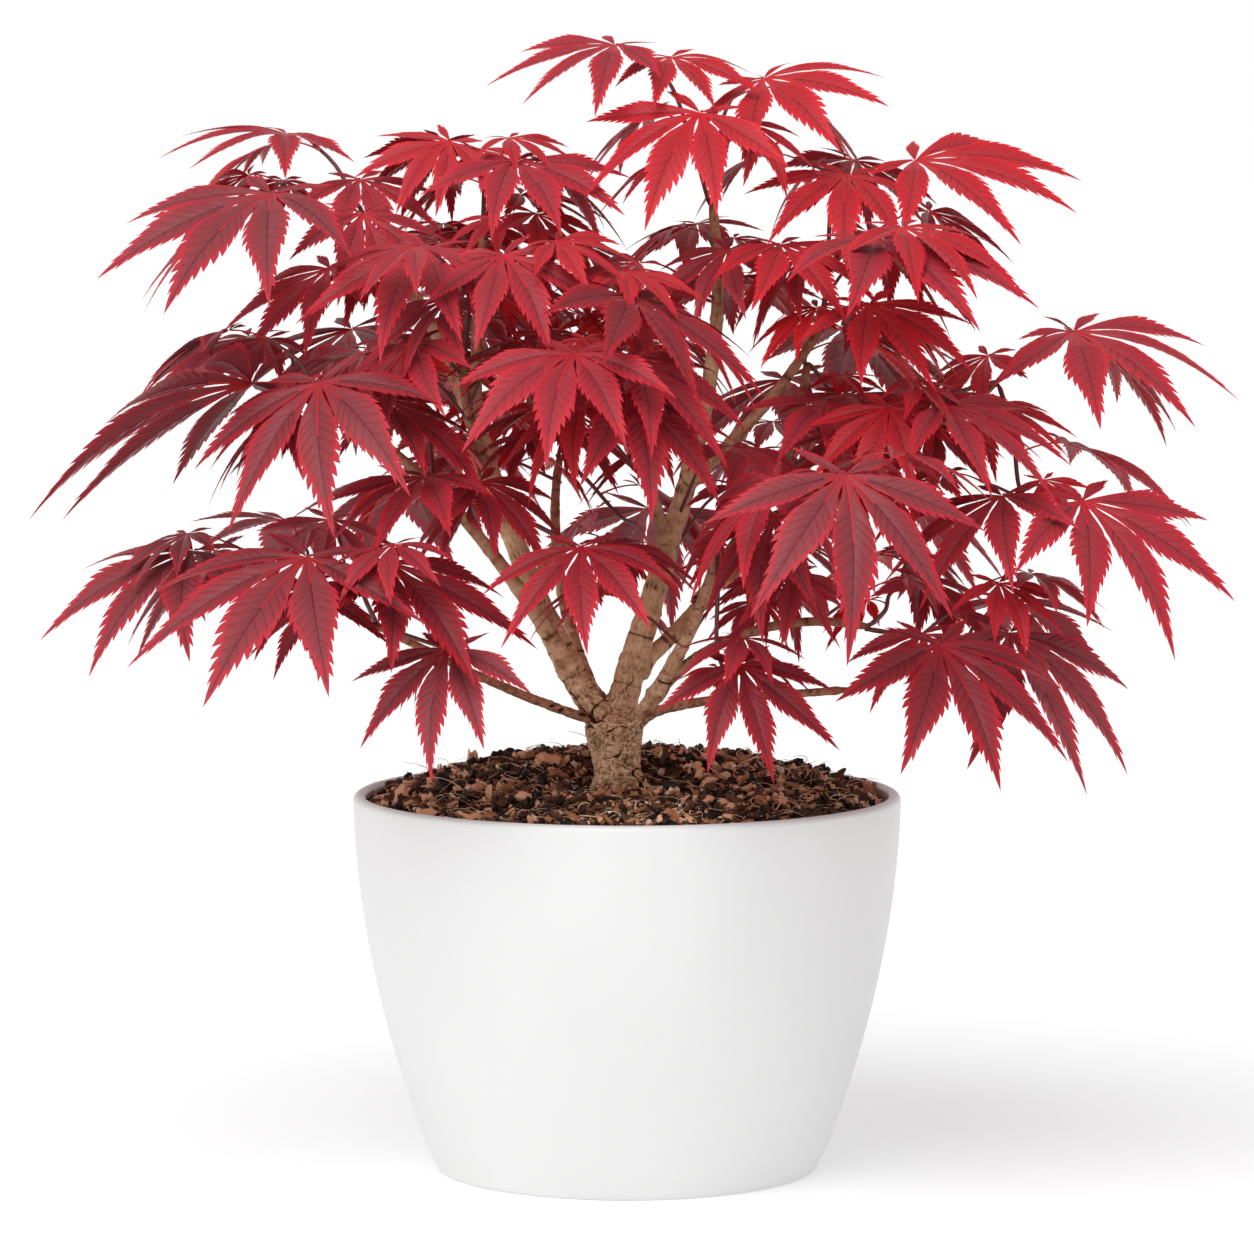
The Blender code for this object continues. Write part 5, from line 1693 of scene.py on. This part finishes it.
def make_chips():
    """Thick curled plates of bark, ragged at the edge, some standing on end."""
    chance = random.Random(CHIP_SEED)
    shape, faces = plate_shape(4, 3)
    blocks = []
    for _ in range(CHIPS):
        long = CHIP_LENGTH[0] + CHIP_LENGTH[1] * chance.random() ** 2
        wide = long * chance.uniform(*CHIP_WIDTH)
        bent = shape.copy()
        bent[:, :2] += np.array([[chance.uniform(-CHIP_RAGGED, CHIP_RAGGED) for _ in range(2)]
                                 for _ in range(len(shape) // 2)] * 2)
        curl = chance.uniform(*CHIP_CURL)
        bent = bent * (long, wide, long * chance.uniform(*CHIP_THICK))
        bent[:, 2] += curl * (wide * 0.6 - bent[:, 1] ** 2 / wide)
        bent[:, 2] += chance.uniform(-CHIP_BOW, CHIP_BOW) * (bent[:, 0] ** 2 / long)
        place = strewn(chance, long) + (0, 0, CHIP_RISE)
        blocks.append((bent @ turned_about(chance, CHIP_LEAN).T + place, faces,
                       chance.choice(CHIP_KINDS)))
    return join_many("bark_chips", blocks, ("coir", "bark_chip", "rusty_chip", "dry_fibre"))


# %% Fibres and grit
FIBRES, FIBRE_SEED, FIBRE_LEAN, FIBRE_RISE = 1100, 13, 22, 0.5 * MM
FIBRE_LENGTH, FIBRE_THICK = (5, 17), (0.12, 0.30)   # mm
FIBRE_STEPS, FIBRE_BEND, FIBRE_KINK = 9, 4.2, 0.15   # bends in radians
FIBRE_ARCH, FIBRE_TAPER = 0.5, 0.6
FIBRE_KINDS = (0, 1, 2, 2)
GRAINS, GRIT_SEED, STONE_SHARE = 150, 14, 0.30
STONE_SIZE, GRAIN_SIZE = (0.8, 1.7), (0.30, 0.75)   # mm
GRIT_STRETCH, GRIT_RAGGED = (0.75, 1.3), 0.14
GRIT_RISE = (0.7, 0.4 * MM)       # of its size, and above that


def fibre_path(chance, length, bend):
    """Points of a thread that curls evenly, with small kinks, and arches off the soil."""
    points, heading = [Vector((0, 0, 0))], 0.0
    for k in range(FIBRE_STEPS):
        heading += bend / FIBRE_STEPS + chance.uniform(-FIBRE_KINK, FIBRE_KINK)
        rise = FIBRE_ARCH * math.cos(math.pi * k / FIBRE_STEPS)
        points.append(points[-1] + Vector((math.cos(heading), math.sin(heading), rise * 0.6))
                      * (length / FIBRE_STEPS))
    return points


def make_fibres():
    chance = random.Random(FIBRE_SEED)
    blocks = []
    for _ in range(FIBRES):
        length = chance.uniform(*FIBRE_LENGTH) * MM
        points = fibre_path(chance, length, chance.uniform(-FIBRE_BEND, FIBRE_BEND))
        thick = chance.uniform(*FIBRE_THICK) * MM
        radii = [thick * (1 - FIBRE_TAPER * k / FIBRE_STEPS) for k in range(FIBRE_STEPS + 1)]
        skin, faces = tube(points, radii, 3)
        place = strewn(chance, length * 0.6) + (0, 0, FIBRE_RISE)
        blocks.append((np.array(skin) @ turned_about(chance, FIBRE_LEAN).T + place, faces,
                       chance.choice(FIBRE_KINDS)))
    return join_many("soil_fibres", blocks, ("bark_chip", "rusty_chip", "dry_fibre"))


def make_grit():
    """A few stones, and more white grains of perlite."""
    chance = random.Random(GRIT_SEED)
    shape, faces = ball_shape(2)
    blocks = []
    for _ in range(GRAINS):
        stone = chance.random() < STONE_SHARE
        size = chance.uniform(*(STONE_SIZE if stone else GRAIN_SIZE)) * MM
        stretch = np.array([chance.uniform(*GRIT_STRETCH) for _ in range(3)])
        grain = ragged(chance, shape, GRIT_RAGGED)
        place = strewn(chance, size) + (0, 0, size * GRIT_RISE[0] + GRIT_RISE[1])
        blocks.append(((grain * stretch * size) @ turned_about(chance, 90).T + place, faces,
                       0 if stone else 1))
    return join_many("perlite_and_grit", blocks, ("grit", "perlite"))


for piece in (soil_bed, make_crumbs(), make_chips(), make_fibres(), make_grit()):
    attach(piece, "root")
    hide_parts("soil")

# %% [markdown]
# ## Floor and light
#
# The plant stands on a plain white floor under soft light, so that nothing but a
# faint shadow surrounds the pot.  A sky that is bright at its foot fills every side.
# One wide lamp, high in front and a little to the left, gives the leaves their light
# and dark sides, and a weak one on the left lifts the pot's left flank.

# %% Floor and light
FLOOR_SIZE = 60.0
FLOOR_WHITE = (0.60, 0.60, 0.60)
FLOOR_GLOW = 0.42                 # the floor is lit from beneath, as a light table is
HORIZON, ZENITH = (1.0, 1.0, 1.0), (0.44, 0.44, 0.44)
SKY_FADE = (0.16, 0.55)           # the sky darkens between these heights, 1 is straight up
# each lamp: degrees round from the right, degrees above the floor, strength, softness
LAMPS = {"key": (-112, 56, 2.05, 50), "side": (-168, 25, 0.35, 40)}


def make_floor():
    deselect()
    bpy.ops.mesh.primitive_plane_add(size=FLOOR_SIZE)
    floor = bpy.context.object
    floor.name = "floor"
    white = principled("white_floor", FLOOR_WHITE, 0.9, 0.0)
    shader = white.node_tree.nodes["Principled BSDF"]
    shader.inputs["Emission Color"].default_value = (1, 1, 1, 1)
    shader.inputs["Emission Strength"].default_value = FLOOR_GLOW
    floor.data.materials.append(white)


def make_light():
    world = bpy.data.worlds.new("studio_walls")
    world.use_nodes = True
    nodes, links = world.node_tree.nodes, world.node_tree.links
    place, parts = nodes.new("ShaderNodeTexCoord"), nodes.new("ShaderNodeSeparateXYZ")
    fade = nodes.new("ShaderNodeValToRGB")
    links.new(place.outputs["Generated"], parts.inputs["Vector"])
    links.new(parts.outputs["Z"], fade.inputs["Fac"])
    low, high = fade.color_ramp.elements
    low.position, high.position = SKY_FADE
    low.color, high.color = (*HORIZON, 1), (*ZENITH, 1)
    links.new(fade.outputs["Color"], nodes["Background"].inputs["Color"])
    bpy.context.scene.world = world
    for name, (turn, height, strength, softness) in LAMPS.items():
        way = -direction(turn, height)
        bpy.ops.object.light_add(type="SUN", rotation=way.to_track_quat("-Z", "Y").to_euler())
        lamp = bpy.context.object
        lamp.name = name
        lamp.data.energy, lamp.data.angle = strength, math.radians(softness)
    bpy.context.scene.view_settings.view_transform = "Standard"


make_floor()
make_light()
